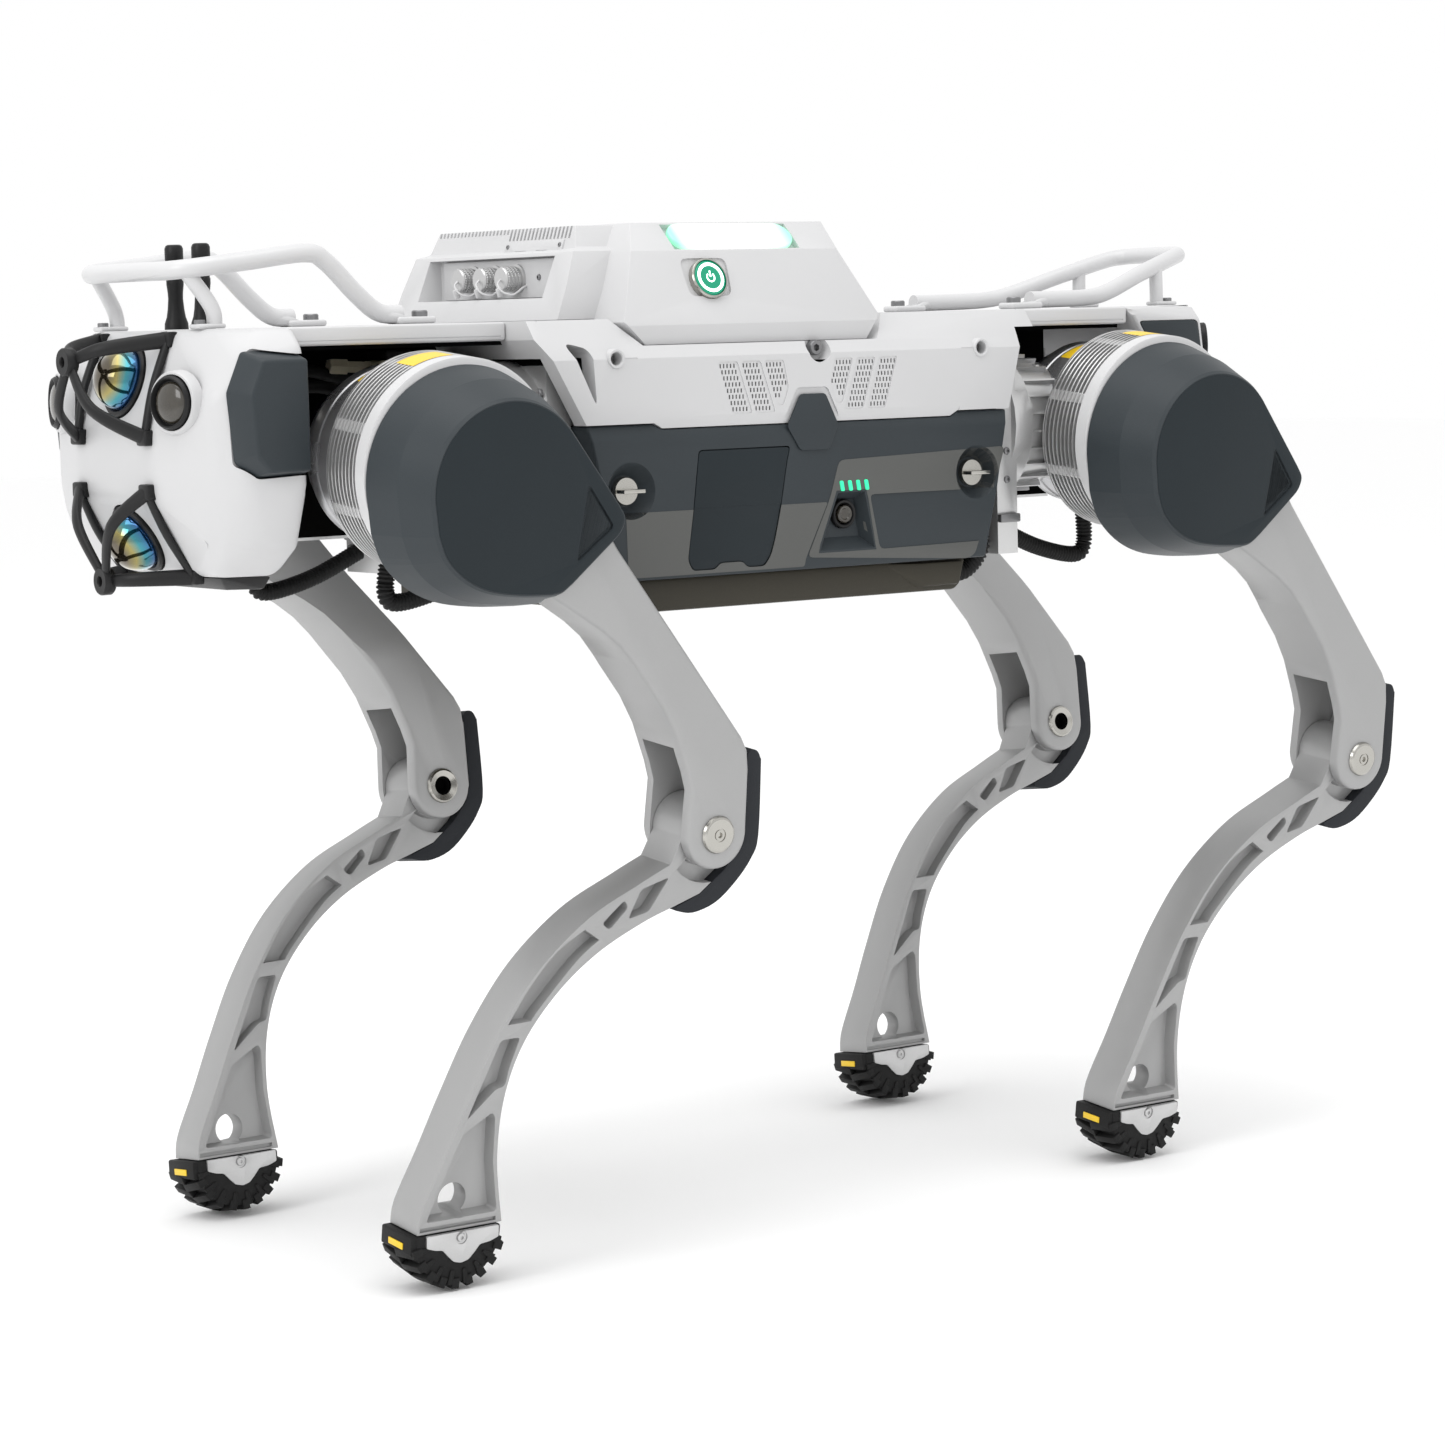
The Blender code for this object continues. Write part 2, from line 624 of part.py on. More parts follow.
def make_computer_module(body):
    """Computer housing: a broad rear cover, and a forward base whose face is recessed for the ports."""
    side_cover = [
        (0.1245, 0.6015), (0.1415, 0.6165), (0.1225, 0.6625), (0.1090, 0.6820),
        (-0.0500, 0.6820), (-0.0480, 0.6625), (-0.0690, 0.6185), (-0.0585, 0.6015)]
    module = plate("computer_module", side_cover, 0.30, side_frame(0), body, white_plastic())
    section = [
        (-0.1390, 0.60), (0.1390, 0.60), (0.1410, 0.6140), (0.1220, 0.6630), (0.1000, 0.6840),
        (-0.1000, 0.6840), (-0.1220, 0.6630), (-0.1410, 0.6140)]
    boolean(module, plate("module_section", section, 0.60, front_frame(0), body), "INTERSECT")
    side_base = [
        (0.1700, DECK_TOP + GAP), (0.1520, 0.6640), (0.1450, 0.6660), (0.1400, 0.6810),
        (0.0900, 0.6810), (0.0900, DECK_TOP + GAP)]
    base = plate("module_base", side_base, 0.30, side_frame(0), body)
    base_section = [
        (-0.1050, 0.60), (0.1050, 0.60), (0.1030, 0.6400), (0.0980, 0.6640), (0.0900, 0.6670),
        (0.0840, 0.6820), (-0.0840, 0.6820), (-0.0900, 0.6670), (-0.0980, 0.6640),
        (-0.1030, 0.6400)]
    boolean(base, plate("base_section", base_section, 0.60, front_frame(0), body), "INTERSECT")
    join(module, base)
    port_bay = box("port_bay", (PORT_FACE_X, -PORT_BAY_Y, 0.6340), (0.1900, PORT_BAY_Y, 0.6615), body)
    button_well = rod("button_well", 0.0140, (0.0660, 0.1250, 0.6420), (0.0660, 0.1500, 0.6510), body)
    bar_well = hull("bar_well", mirrored_bar(0.0012), body)
    return cut(module, port_bay, button_well, bar_well)


def mirrored_bar(grow):
    """Corner points of the light bar's slot in the sloping face above the shoulder."""
    points = []
    for x in (-0.0160 - grow, 0.0850 + grow):
        for y, z in ((0.1205, 0.6645 - grow), (0.1035, 0.6800 + grow / 2)):
            for push in (-0.0030 - grow, 0.0010 + 3 * grow):
                points.append((x, y + 0.69 * push, z + 0.72 * push))
    return points


def make_light_bar(body):
    return hull("light_bar", mirrored_bar(0.0), body, lamp_white())


def make_power_button(body):
    axis = axis_empty("power_button_axis", (0.0660, 0.1296, 0.6437), body)
    out = Vector((0, 0.941, 0.339))
    return rod("power_button", 0.0120, -0.0030 * out, 0.0035 * out, axis, lamp_white(), sides=24)


def make_port_panel(body):
    """Plate at the back of the port bay with three capped round connectors that face forwards."""
    x = PORT_FACE_X + GAP
    panel = box("port_panel", (x, -0.0700, 0.6345), (x + 0.0030, 0.0700, 0.6605), body, polished_steel())
    for y in (-0.0300, -0.0030, 0.0240):
        join(panel, rod(f"cap_{y}", 0.0080, (x + 0.002, y, 0.6460), (x + 0.0160, y, 0.6460), body, sides=16))
    return panel


def make_battery(body):
    half = BODY_Y - 0.0003
    side_view = [
        (-0.1740, SEAM_Z + 0.0030), (-0.1540, BATTERY_LOW), (0.1540, BATTERY_LOW),
        (0.1780, SEAM_Z + 0.0030), (0.1262, SEAM_Z + 0.0030), (0.1192, SEAM_Z - 0.0006),
        (-0.1232, SEAM_Z - 0.0006), (-0.1292, SEAM_Z + 0.0030)]
    pack = plate("battery_pack", side_view, 2 * half, side_frame(0), body, slate_plastic())
    for x in (-0.1450, 0.1460):
        cut(pack, rod(
            f"lock_dish_{x}", 0.0120, (x, half - 0.0100, 0.5070), (x, half + 0.0010, 0.5070), body,
            sides=24, end_radius=0.0190))
    door_well = plate(
        "door_well", scaled(door_outline(), 1.02, (0.061, 0.491)), 0.0080,
        side_frame(half), body)
    socket = box("charge_socket", (0.0420, half - 0.0200, 0.4750), (0.0780, half, 0.5050), body)
    grip = loft("button_recess", [
        [(x, half - 0.0110, z) for x, z in (
            (-0.0440, 0.4930), (-0.0250, 0.4930), (-0.0180, 0.4680), (-0.0480, 0.4680))],
        [(x, half + 0.0010, z) for x, z in (
            (-0.0460, 0.4990), (-0.0230, 0.4990), (-0.0050, 0.4560), (-0.0590, 0.4560))]], body)
    bore = rod(
        "button_bore", 0.0070, (-0.0340, half - 0.0150, 0.4835), (-0.0340, half - 0.0100, 0.4835), body)
    return cut(pack, door_well, socket, grip, bore)


def door_outline():
    return [(0.0170, 0.5310), (0.0910, 0.5310), (0.0960, 0.4960), (0.1000, 0.4600),
            (0.0960, 0.4530), (0.0780, 0.4530), (0.0740, 0.4570), (0.0560, 0.4570),
            (0.0520, 0.4530), (0.0380, 0.4530), (0.0330, 0.4600), (0.0300, 0.4700),
            (0.0200, 0.5200)]


def make_charge_port_door(body):
    hinge = (0.0540, BODY_Y - 0.0003, 0.5310)
    axis = axis_empty("charge_port_door_axis", hinge, body)
    outline = [(x - hinge[0], z - hinge[2]) for x, z in door_outline()]
    return plate("charge_port_door", outline, 0.0030, side_frame(-0.0015), axis, slate_plastic())


def make_battery_button(body):
    y = BODY_Y - 0.0003 - 0.0110
    axis = axis_empty("battery_button_axis", (-0.0340, y, 0.4835), body)
    return rod("battery_button", 0.0060, (0, -0.0012, 0), (0, 0.0045, 0), axis, black_plastic(), sides=20)


def make_lock(name, x, body):
    """A quarter-turn lock: a round head with a grip bar across it."""
    y = BODY_Y - 0.0003 - 0.0100
    axis = axis_empty(name + "_axis", (x, y, 0.5070), body)
    head = rod(name, 0.0085, (0, GAP, 0), (0, 0.0040, 0), axis, polished_steel(), sides=20)
    bar = box(name + "_bar", (-0.0080, 0.0030, -0.0018), (0.0080, 0.0140, 0.0018), axis)
    return join(head, bar)


def make_belly_tray(body):
    side_view = [
        (-0.1450, BATTERY_LOW - GAP), (-0.1400, TRAY_LOW + 0.004), (-0.1350, TRAY_LOW),
        (0.1300, TRAY_LOW), (0.1350, TRAY_LOW + 0.004), (0.1400, BATTERY_LOW - GAP)]
    tray = plate("belly_tray", side_view, 0.2700, side_frame(0), body, black_plastic())
    outer = BULKHEAD_X + BULKHEAD_THICK
    ears = box("tray_ears", (-outer, -0.0600, TRAY_LOW + 0.0080), (outer, 0.0600, BATTERY_LOW - GAP), body)
    return join(tray, ears)


# Head
def head_corners():
    return mirrored([
        (0.4417, 0.055, 0.514), (0.4417, 0.055, 0.555), (0.4385, 0.083, 0.522), (0.4385, 0.083, 0.555),
        (0.4280, 0.104, 0.522), (0.4280, 0.104, 0.577), (0.4120, 0.121, 0.522), (0.4120, 0.121, 0.594),
        (0.3747, 0.130, 0.519), (0.3747, 0.130, 0.606),
        (0.4220, 0.055, DECK_TOP), (0.4120, 0.085, DECK_TOP), (0.3950, 0.108, DECK_TOP),
        (0.3747, 0.118, DECK_TOP), (0.4130, 0.055, 0.463), (0.4090, 0.075, 0.463),
        (0.3747, 0.088, 0.463), (0.4250, 0.098, 0.485), (0.4000, 0.112, 0.481), (0.3747, 0.115, 0.481)])


def make_head(body):
    head = hull("head_shell", head_corners(), body, white_plastic())
    for name, place, out in dome_places():
        cut(head, rod(f"{name}_well", 0.0240, place - 0.012 * out, place + 0.02 * out, body, sides=24))
    for side in (LEFT, RIGHT):
        place, out = lens_place(side)
        cut(head, rod(f"lens_well_{side}", 0.0176, place - 0.0058 * out, place + 0.03 * out, body))
        cut(head, hull(f"pad_well_{side}", pad_points(side, 0.0005), body))
    return head


def dome_places():
    """Name, centre on the facet and outward direction of each hemispherical scanner."""
    upper = Vector((0.955, 0, 0.296)).normalized()
    lower = Vector((0.872, 0, -0.490)).normalized()
    return (
        ("upper_dome", Vector((0.4315, 0, 0.5876)), upper),
        ("lower_dome", Vector((0.4270, 0, 0.4870)), lower),
    )


def make_dome(name, place, out, body):
    """A glass dome on a short round collar."""
    radius = 0.0200
    profile = [(radius * math.cos(math.radians(a)), 0.0010 + radius * math.sin(math.radians(a)))
               for a in range(90, -1, -18)]
    profile[0] = (0, profile[0][1])
    profile += [(0.0230, 0.0010), (0.0230, -0.0115), (0, -0.0115)]
    turn = out.to_track_quat("Z", "Y").to_matrix().to_4x4()
    return turned(name, profile, Matrix.Translation(place) @ turn, body, mirror_glass(), steps=20)


def make_guard(name, boss, feet, body):
    """Four bowed arms from a round boss in front of a dome to feet on the head, with side rails."""
    out = Vector((1, 0, 0))
    guard = rod(name, 0.0085, boss - 0.004 * out, boss + 0.004 * out, body, black_plastic(), sides=16)
    for number, foot in enumerate(feet):
        bow = (boss + foot) / 2 + Vector((0.0100, 0, (foot.z - boss.z) * 0.12))
        inner = boss + (bow - boss) * 0.10
        join(guard, tube(f"{name}_arm_{number}", through([inner, bow, foot], 3), 0.0040, body, None, sides=1))
    for number, (a, b) in enumerate(((0, 1), (2, 3))):
        join(guard, tube(f"{name}_rail_{number}", [feet[a], feet[b]], 0.0028, body, None, sides=1))
    middle = Vector((0.40, 0, 0.54))
    skin = [middle + 1.009 * (Vector(corner) - middle) for corner in head_corners()]
    return cut(guard, hull(name + "_seat", skin, body))


def pad_points(side, grow=0.0):
    """Corner points of the bevelled bumper pad on each cheek."""
    points = []
    for x, z in ((0.3752, 0.5250), (0.4080, 0.5250), (0.4190, 0.5360), (0.4230, 0.5800),
                 (0.4120, 0.6050), (0.3752, 0.6055)):
        points.append((x, side * 0.1130, z))
    for x, z in ((0.3752, 0.5300), (0.4040, 0.5300), (0.4130, 0.5400), (0.4160, 0.5780),
                 (0.4070, 0.5990), (0.3752, 0.5990)):
        points.append((x, side * 0.1350, z))
    middle = Vector((0.40, side * 0.12, 0.565))
    grown = []
    for point in points:
        away = Vector(point) - middle
        grown.append(tuple(Vector(point) + grow * away.normalized() * 1.6))
    return grown


def lens_place(side):
    """Centre of a camera's rim and the direction that it looks."""
    return Vector((0.4385, side * 0.0775, 0.5740)), Vector((0.96, side * 0.28, 0.03)).normalized()


def make_lens(name, side, body):
    centre, out = lens_place(side)
    profile = [(0, 0.0050), (0.0130, 0.0050), (0.0140, 0.0080), (0.0165, 0.0080), (0.0172, 0.0060),
               (0.0172, -0.0055), (0, -0.0055)]
    turn = out.to_track_quat("Z", "Y").to_matrix().to_4x4()
    return turned(name, profile, Matrix.Translation(centre) @ turn, body, black_plastic(), steps=24)


# Rails, antennas and tail
def make_rail(name, controls, post, foot, body):
    """A bent tube rail with flattened feet and a bent post each side, all standing on the deck."""
    half = through(controls, 3)
    far = [(x, -y, z) for x, y, z in reversed(half)]
    rail = tube(name, half + far[1:], RAIL_ROUND, body, white_paint(), sides=1)
    ground = DECK_TOP + GAP
    for side in (LEFT, RIGHT):
        x, y = foot
        inwards = FORE if x < 0 else AFT
        low, high = sorted((x + inwards * 0.0190, x - inwards * 0.0100))
        join(rail, box(
            f"{name}_foot_{side}",
            (low, side * y - 0.0085, ground),
            (high, side * y + 0.0085, ground + 0.0045),
            body))
        line = [(px, side * py, pz) for px, py, pz in post]
        join(rail, tube(f"{name}_post_{side}", line, 0.0050, body, None, sides=1))
        px, py, pz = line[0]
        low, high = sorted((px + inwards * 0.0050, px - inwards * 0.0150))
        join(rail, box(
            f"{name}_shoe_{side}", (low, py - 0.0065, ground), (high, py + 0.0065, ground + 0.0030), body))
    return rail


def make_front_rail(body):
    controls = [
        (0.2690, 0.0700, 0.6256), (0.2850, 0.0700, 0.6270), (0.3010, 0.0700, 0.6390),
        (0.3230, 0.0700, 0.6600), (0.3380, 0.0700, 0.6655), (0.3800, 0.0700, 0.6610),
        (0.4130, 0.0670, 0.6575), (0.4265, 0.0520, 0.6560),
        (0.4290, 0.0, 0.6560)]
    post = [(0.4020, 0.0655, DECK_TOP + 0.0010), (0.4040, 0.0655, 0.6330), (0.4190, 0.0610, 0.6560)]
    return make_rail("front_rail", controls, post, (0.2650, 0.0700), body)


def make_rear_rail(body):
    controls = [
        (-0.2650, 0.0672, 0.6256), (-0.2850, 0.0665, 0.6256), (-0.3260, 0.0610, 0.6265),
        (-0.3500, 0.0570, 0.6305), (-0.3900, 0.0470, 0.6430), (-0.4300, 0.0380, 0.6545),
        (-0.4430, 0.0300, 0.6570), (-0.4470, 0.0, 0.6575)]
    post = [(-0.4090, 0.0440, DECK_TOP + 0.0010), (-0.4090, 0.0440, 0.6300), (-0.4090, 0.0435, 0.6470)]
    return make_rail("rear_rail", controls, post, (-0.2610, 0.0672), body)


def make_antenna(name, x, y, body):
    ground = DECK_TOP + GAP
    profile = [
        (0, 0.0545), (0.0050, 0.0540), (0.0060, 0.0505), (0.0060, 0.0450), (0.0056, 0.0440),
        (0.0056, 0.0290), (0.0048, 0.0200), (0.0062, 0.0080), (0.0078, 0.0), (0, 0.0)]
    return turned(name, profile, Matrix.Translation((x, y, ground)), body, black_plastic(), steps=16)


def make_tail(body):
    """Rear cap of the rear deck, with a round lamp on each slanted corner."""
    corners = [
        (-0.3230, 0.1080, DECK_TOP), (-0.3230, 0.1120, 0.6150), (-0.3480, 0.1120, 0.5780),
        (-0.3880, 0.1040, DECK_TOP), (-0.3900, 0.1120, 0.6080), (-0.3960, 0.1100, 0.5780),
        (-0.4400, 0.0500, 0.5780), (-0.4370, 0.0500, 0.6100), (-0.4260, 0.0480, DECK_TOP)]
    tail = hull("tail_block", mirrored(corners), body, white_plastic())
    for side in (LEFT, RIGHT):
        centre = Vector((-0.4160, side * 0.0800, 0.5930))
        out = Vector((-0.80, side * 0.59, 0.05)).normalized()
        lamp = rod(f"tail_lamp_{side}", 0.0125, centre - 0.006 * out, centre + 0.011 * out, body, sides=20)
        join(tail, lamp)
    return tail


def make_body():
    body = axis_empty("robot_frame", (MID_X, 0, BASE_Z))
    make_chassis(body)
    make_torso_shell(body)
    make_deck("front_deck", 0.2123, 0.3744, body)
    make_deck("rear_deck", -0.2063, -0.3227, body)
    make_computer_module(body)
    make_light_bar(body)
    make_power_button(body)
    make_port_panel(body)
    make_battery(body)
    make_charge_port_door(body)
    make_battery_button(body)
    make_lock("front_lock", 0.1460, body)
    make_lock("rear_lock", -0.1450, body)
    make_belly_tray(body)
    make_head(body)
    for name, place, out in dome_places():
        make_dome(name, place, out, body)
    for side, word in ((LEFT, "left"), (RIGHT, "right")):
        hull(f"{word}_bumper_pad", pad_points(side), body, slate_plastic())
        make_lens(f"{word}_camera", side, body)
    make_guard("upper_guard", Vector((0.4720, 0, 0.6005)), [
        Vector((0.4250, 0.0460, 0.6130)), Vector((0.4440, 0.0460, 0.5520)),
        Vector((0.4250, -0.0460, 0.6130)), Vector((0.4440, -0.0460, 0.5520))], body)
    make_guard("lower_guard", Vector((0.4520, 0, 0.4610)), [
        Vector((0.4130, 0.0460, 0.4630)), Vector((0.4440, 0.0460, 0.5180)),
        Vector((0.4130, -0.0460, 0.4630)), Vector((0.4440, -0.0460, 0.5180))], body)
    make_front_rail(body)
    make_rear_rail(body)
    make_antenna("left_antenna", 0.3840, 0.0180, body)
    make_antenna("right_antenna", 0.3840, -0.0180, body)
    make_tail(body)
    return body


robot = make_body()
for corner_name, corner_end, corner_side in CORNERS:
    make_leg(corner_name, corner_end, corner_side, robot)
bpy.context.view_layer.update()
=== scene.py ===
"""Looks of the four-legged inspection robot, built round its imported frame.

Metres, +X towards the head, +Y to the robot's left, +Z up. Torso pieces are drawn in the
torso's own drawing frame, and each leg in its hip's frame: x forward, o outward, z up.
"""
import json
import math

import bmesh
import bpy
from mathutils import Matrix, Vector


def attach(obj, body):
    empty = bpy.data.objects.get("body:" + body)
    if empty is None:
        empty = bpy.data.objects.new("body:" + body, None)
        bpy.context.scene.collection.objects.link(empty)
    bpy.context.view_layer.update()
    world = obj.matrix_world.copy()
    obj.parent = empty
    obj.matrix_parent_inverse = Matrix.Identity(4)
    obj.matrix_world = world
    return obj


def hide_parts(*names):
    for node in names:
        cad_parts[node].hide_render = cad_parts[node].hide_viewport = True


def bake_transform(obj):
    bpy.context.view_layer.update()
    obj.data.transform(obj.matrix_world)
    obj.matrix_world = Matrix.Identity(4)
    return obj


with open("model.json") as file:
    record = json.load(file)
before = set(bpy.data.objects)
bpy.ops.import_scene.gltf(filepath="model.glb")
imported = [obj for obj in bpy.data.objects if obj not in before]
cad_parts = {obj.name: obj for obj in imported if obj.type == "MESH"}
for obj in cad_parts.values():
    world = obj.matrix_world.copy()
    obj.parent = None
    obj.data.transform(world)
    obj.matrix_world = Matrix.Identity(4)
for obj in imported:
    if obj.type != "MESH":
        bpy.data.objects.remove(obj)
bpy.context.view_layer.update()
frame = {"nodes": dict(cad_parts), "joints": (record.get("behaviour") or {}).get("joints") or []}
JOINTS = {joint["name"]: joint for joint in frame["joints"]}

# Shared dimensions, as the CAD has them
LEAN = math.radians(6)
HIP_X = 0.2923
ROLL_Z = 0.5378
KNEE = (-0.1753, -0.241)
SOLE = (0.012, -0.485)
LEG_O = 0.1157
COVER_IN, COVER_OUT = 0.098, 0.152
THIGH_IN, THIGH_OUT = 0.0892, 0.1422
SHIN_WIDE = 0.0335
FOOT_WIDE = 0.04
FOOT_ROUND = 0.0368
BODY_Y = 0.15
DECK_Y = 0.108
DECK_TOP, DECK_LOW = 0.619, 0.6067
SEAM_Z = 0.547
BATTERY_LOW = 0.448
BULKHEAD_X = 0.179 + 0.018 + 0.011
POWER_SEAT = Vector((0.066, 0.1296, 0.6437))
POWER_OUT = Vector((0, 0.941, 0.339))
LOCK_Z = 0.507
FORE_LOCK_X, AFT_LOCK_X = 0.146, -0.145
FORE, AFT = 1, -1
LEFT, RIGHT = 1, -1
CORNERS = (
    ("front_left", FORE, LEFT),
    ("front_right", FORE, RIGHT),
    ("rear_left", AFT, LEFT),
    ("rear_right", AFT, RIGHT),
)
HIPS = {corner: Vector(JOINTS[corner + "_hip_roll"]["pos_m"]) for corner, _, _ in CORNERS}
MID_X = (HIPS["front_left"].x + HIPS["rear_left"].x) / 2
BASE_Z = HIPS["front_left"].z - ROLL_Z
BODY = Matrix.Translation((MID_X, 0, BASE_Z))


def leg_frame(corner, side):
    return Matrix.Translation(HIPS[corner]) @ Matrix.Rotation(-side * LEAN, 4, "X")


# ---------------------------------------------------------------- camera, lights and floor
def make_camera():
    azimuth, elevation, roll = 2.51726802, 0.0996753, -0.0257993
    back = Vector((
        math.sin(azimuth) * math.cos(elevation), -math.cos(azimuth) * math.cos(elevation),
        math.sin(elevation)))
    right = (-back).cross(Vector((0, 0, 1))).normalized()
    up = right.cross(-back)
    tilted_right = math.cos(roll) * right + math.sin(roll) * up
    tilted_up = -math.sin(roll) * right + math.cos(roll) * up
    data = bpy.data.cameras.new("camera")
    data.lens = 99.4
    data.sensor_width = 36
    camera = bpy.data.objects.new("camera", data)
    bpy.context.scene.collection.objects.link(camera)
    turn = Matrix((tilted_right, tilted_up, back)).transposed().to_4x4()
    camera.matrix_world = Matrix.Translation((1.61938 + MID_X, 2.28915, 0.6146 + BASE_Z)) @ turn
    bpy.context.scene.camera = camera


def area_light(name, place, target, size, energy, colour=(1, 1, 1)):
    data = bpy.data.lights.new(name, "AREA")
    data.shape = "RECTANGLE"
    data.size, data.size_y = size
    data.energy = energy
    data.color = colour
    light = bpy.data.objects.new(name, data)
    bpy.context.scene.collection.objects.link(light)
    light.location = place
    light.rotation_mode = "QUATERNION"
    light.rotation_quaternion = (Vector(target) - Vector(place)).to_track_quat("-Z", "Y")


def make_studio():
    floor_mesh = bpy.data.meshes.new("floor")
    reach = 14.0
    floor_mesh.from_pydata(
        [(-reach, -reach, 0), (reach, -reach, 0), (reach, reach, 0), (-reach, reach, 0)], [],
        [(0, 1, 2, 3)])
    floor = bpy.data.objects.new("floor", floor_mesh)
    bpy.context.scene.collection.objects.link(floor)
    paint = bpy.data.materials.new("studio_floor")
    paint.use_nodes = True
    surface = paint.node_tree.nodes["Principled BSDF"]
    surface.inputs["Base Color"].default_value = (0.99, 0.99, 0.99, 1)
    surface.inputs["Roughness"].default_value = 0.9
    surface.inputs["Specular IOR Level"].default_value = 0.1
    floor_mesh.materials.append(paint)
    world = bpy.data.worlds.new("studio_air")
    bpy.context.scene.world = world
    world.use_nodes = True
    world.node_tree.nodes["Background"].inputs["Color"].default_value = (1, 1, 1, 1)
    world.node_tree.nodes["Background"].inputs["Strength"].default_value = 1.0
    centre = (0, 0, 0.35)
    area_light("overhead", (0.6, 0.4, 3.2), centre, (3.0, 2.4), 44)
    area_light("front_key", (3.4, 0.6, 2.0), centre, (1.4, 1.4), 24)
    area_light("side_fill", (-1.2, 3.6, 1.4), centre, (2.4, 1.8), 2)
    bpy.context.scene.view_settings.view_transform = "Standard"


# ---------------------------------------------------------------- materials
def add_node(tree, kind, **settings):
    node = tree.nodes.new(kind)
    for key, value in settings.items():
        if key in node.inputs.keys():
            node.inputs[key].default_value = value
        else:
            setattr(node, key, value)
    return node


def finish(name, colour, roughness, metallic=0.0, tint=0.04, grain=900.0, bump=0.05, blotch=18.0,
           coat=0.0, sheen=0.5, glow=None, glow_strength=0.0):
    """A moulded, painted or machined surface: broad tint, fine grain, uneven gloss and fine bump."""
    made = bpy.data.materials.get(name)
    if made:
        return made
    made = bpy.data.materials.new(name)
    made.use_nodes = True
    tree = made.node_tree
    surface = tree.nodes["Principled BSDF"]
    surface.inputs["Metallic"].default_value = metallic
    surface.inputs["Coat Weight"].default_value = coat
    surface.inputs["Coat Roughness"].default_value = 0.25
    surface.inputs["Specular IOR Level"].default_value = sheen
    place = add_node(tree, "ShaderNodeTexCoord")
    broad = add_node(tree, "ShaderNodeTexNoise", Scale=blotch, Detail=3.0)
    fine = add_node(tree, "ShaderNodeTexNoise", Scale=grain, Detail=2.0)
    for noise in (broad, fine):
        tree.links.new(place.outputs["Object"], noise.inputs["Vector"])
    both = add_node(tree, "ShaderNodeMix", data_type="FLOAT")
    both.inputs[0].default_value = 0.4
    tree.links.new(broad.outputs["Fac"], both.inputs[2])
    tree.links.new(fine.outputs["Fac"], both.inputs[3])
    ramp = add_node(tree, "ShaderNodeValToRGB")
    ramp.color_ramp.elements[0].position = 0.3
    ramp.color_ramp.elements[1].position = 0.7
    ramp.color_ramp.elements[0].color = (*[c * (1 - tint) for c in colour], 1)
    ramp.color_ramp.elements[1].color = (*[min(1.0, c * (1 + tint)) for c in colour], 1)
    tree.links.new(both.outputs[0], ramp.inputs["Fac"])
    tree.links.new(ramp.outputs["Color"], surface.inputs["Base Color"])
    gloss = add_node(tree, "ShaderNodeMapRange")
    gloss.inputs["To Min"].default_value = max(0.02, roughness - 0.06)
    gloss.inputs["To Max"].default_value = min(1.0, roughness + 0.06)
    tree.links.new(broad.outputs["Fac"], gloss.inputs["Value"])
    tree.links.new(gloss.outputs["Result"], surface.inputs["Roughness"])
    relief = add_node(tree, "ShaderNodeBump", Strength=bump, Distance=0.0004)
    tree.links.new(fine.outputs["Fac"], relief.inputs["Height"])
    tree.links.new(relief.outputs["Normal"], surface.inputs["Normal"])
    if glow:
        surface.inputs["Emission Color"].default_value = (*glow, 1)
        surface.inputs["Emission Strength"].default_value = glow_strength
    return made


def white_shell():
    return finish("white_shell", (0.555, 0.555, 0.56), 0.42, tint=0.015, bump=0.08, grain=1400)


def white_paint():
    return finish("white_enamel", (0.585, 0.585, 0.59), 0.32, tint=0.012, bump=0.05, grain=700, coat=0.2)


def slate_moulding():
    return finish("slate_moulding", (0.03, 0.037, 0.042), 0.46, sheen=0.26, tint=0.07, bump=0.16,
                  grain=1300)


# A darker copy of slate_moulding: painted shade, for the shade the cover's flat face takes from how it
# faces the light.
def slate_painted_shade():
    return finish("slate_painted_shade", (0.015, 0.021, 0.025), 0.52, sheen=0.2, tint=0.07, bump=0.18, grain=1300)


def grey_moulding():
    return finish("grey_moulding", (0.08, 0.082, 0.078), 0.5, tint=0.06, bump=0.15, grain=1300)


def blasted_aluminium():
    return finish("blasted_aluminium", (0.36, 0.36, 0.36), 0.4, metallic=0.35, tint=0.03, bump=0.12,
                  grain=1600)


def machined_aluminium():
    return finish("machined_aluminium", (0.56, 0.56, 0.56), 0.3, metallic=0.75, tint=0.05, bump=0.1,
                  grain=1000)


def bright_steel():
    return finish("bright_steel", (0.44, 0.43, 0.4), 0.2, metallic=1.0, tint=0.05, bump=0.04, grain=1500)


def dark_metal():
    return finish("dark_metal", (0.22, 0.22, 0.225), 0.38, metallic=0.7, tint=0.08, bump=0.1)


def bell_metal():
    return finish("bell_metal", (0.44, 0.44, 0.45), 0.28, metallic=0.8, tint=0.06, bump=0.06)


def black_rubber():
    return finish("soft_black", (0.008, 0.008, 0.008), 0.6, sheen=0.25, tint=0.2, bump=0.35, grain=600)


def slate_rubber():
    return finish("slate_rubber", (0.016, 0.018, 0.022), 0.66, sheen=0.3, tint=0.12, bump=0.25, grain=900)


def black_plastic():
    return finish("moulded_black", (0.008, 0.008, 0.0085), 0.42, sheen=0.3, tint=0.12, bump=0.2,
                  grain=1100)


# Pure black with no reflection, put where there is only shade: painted shade for holes, slots and gaps.
def painted_shade_black():
    return finish("painted_shade_black", (0.004, 0.004, 0.004), 0.6, sheen=0.0, tint=0.15, bump=0.1)


def yellow_label():
    return finish("yellow_label", (0.85, 0.56, 0.02), 0.4, tint=0.03, bump=0.02)


def tan_nylon():
    return finish("tan_nylon", (0.5, 0.46, 0.34), 0.45, tint=0.06, bump=0.1)


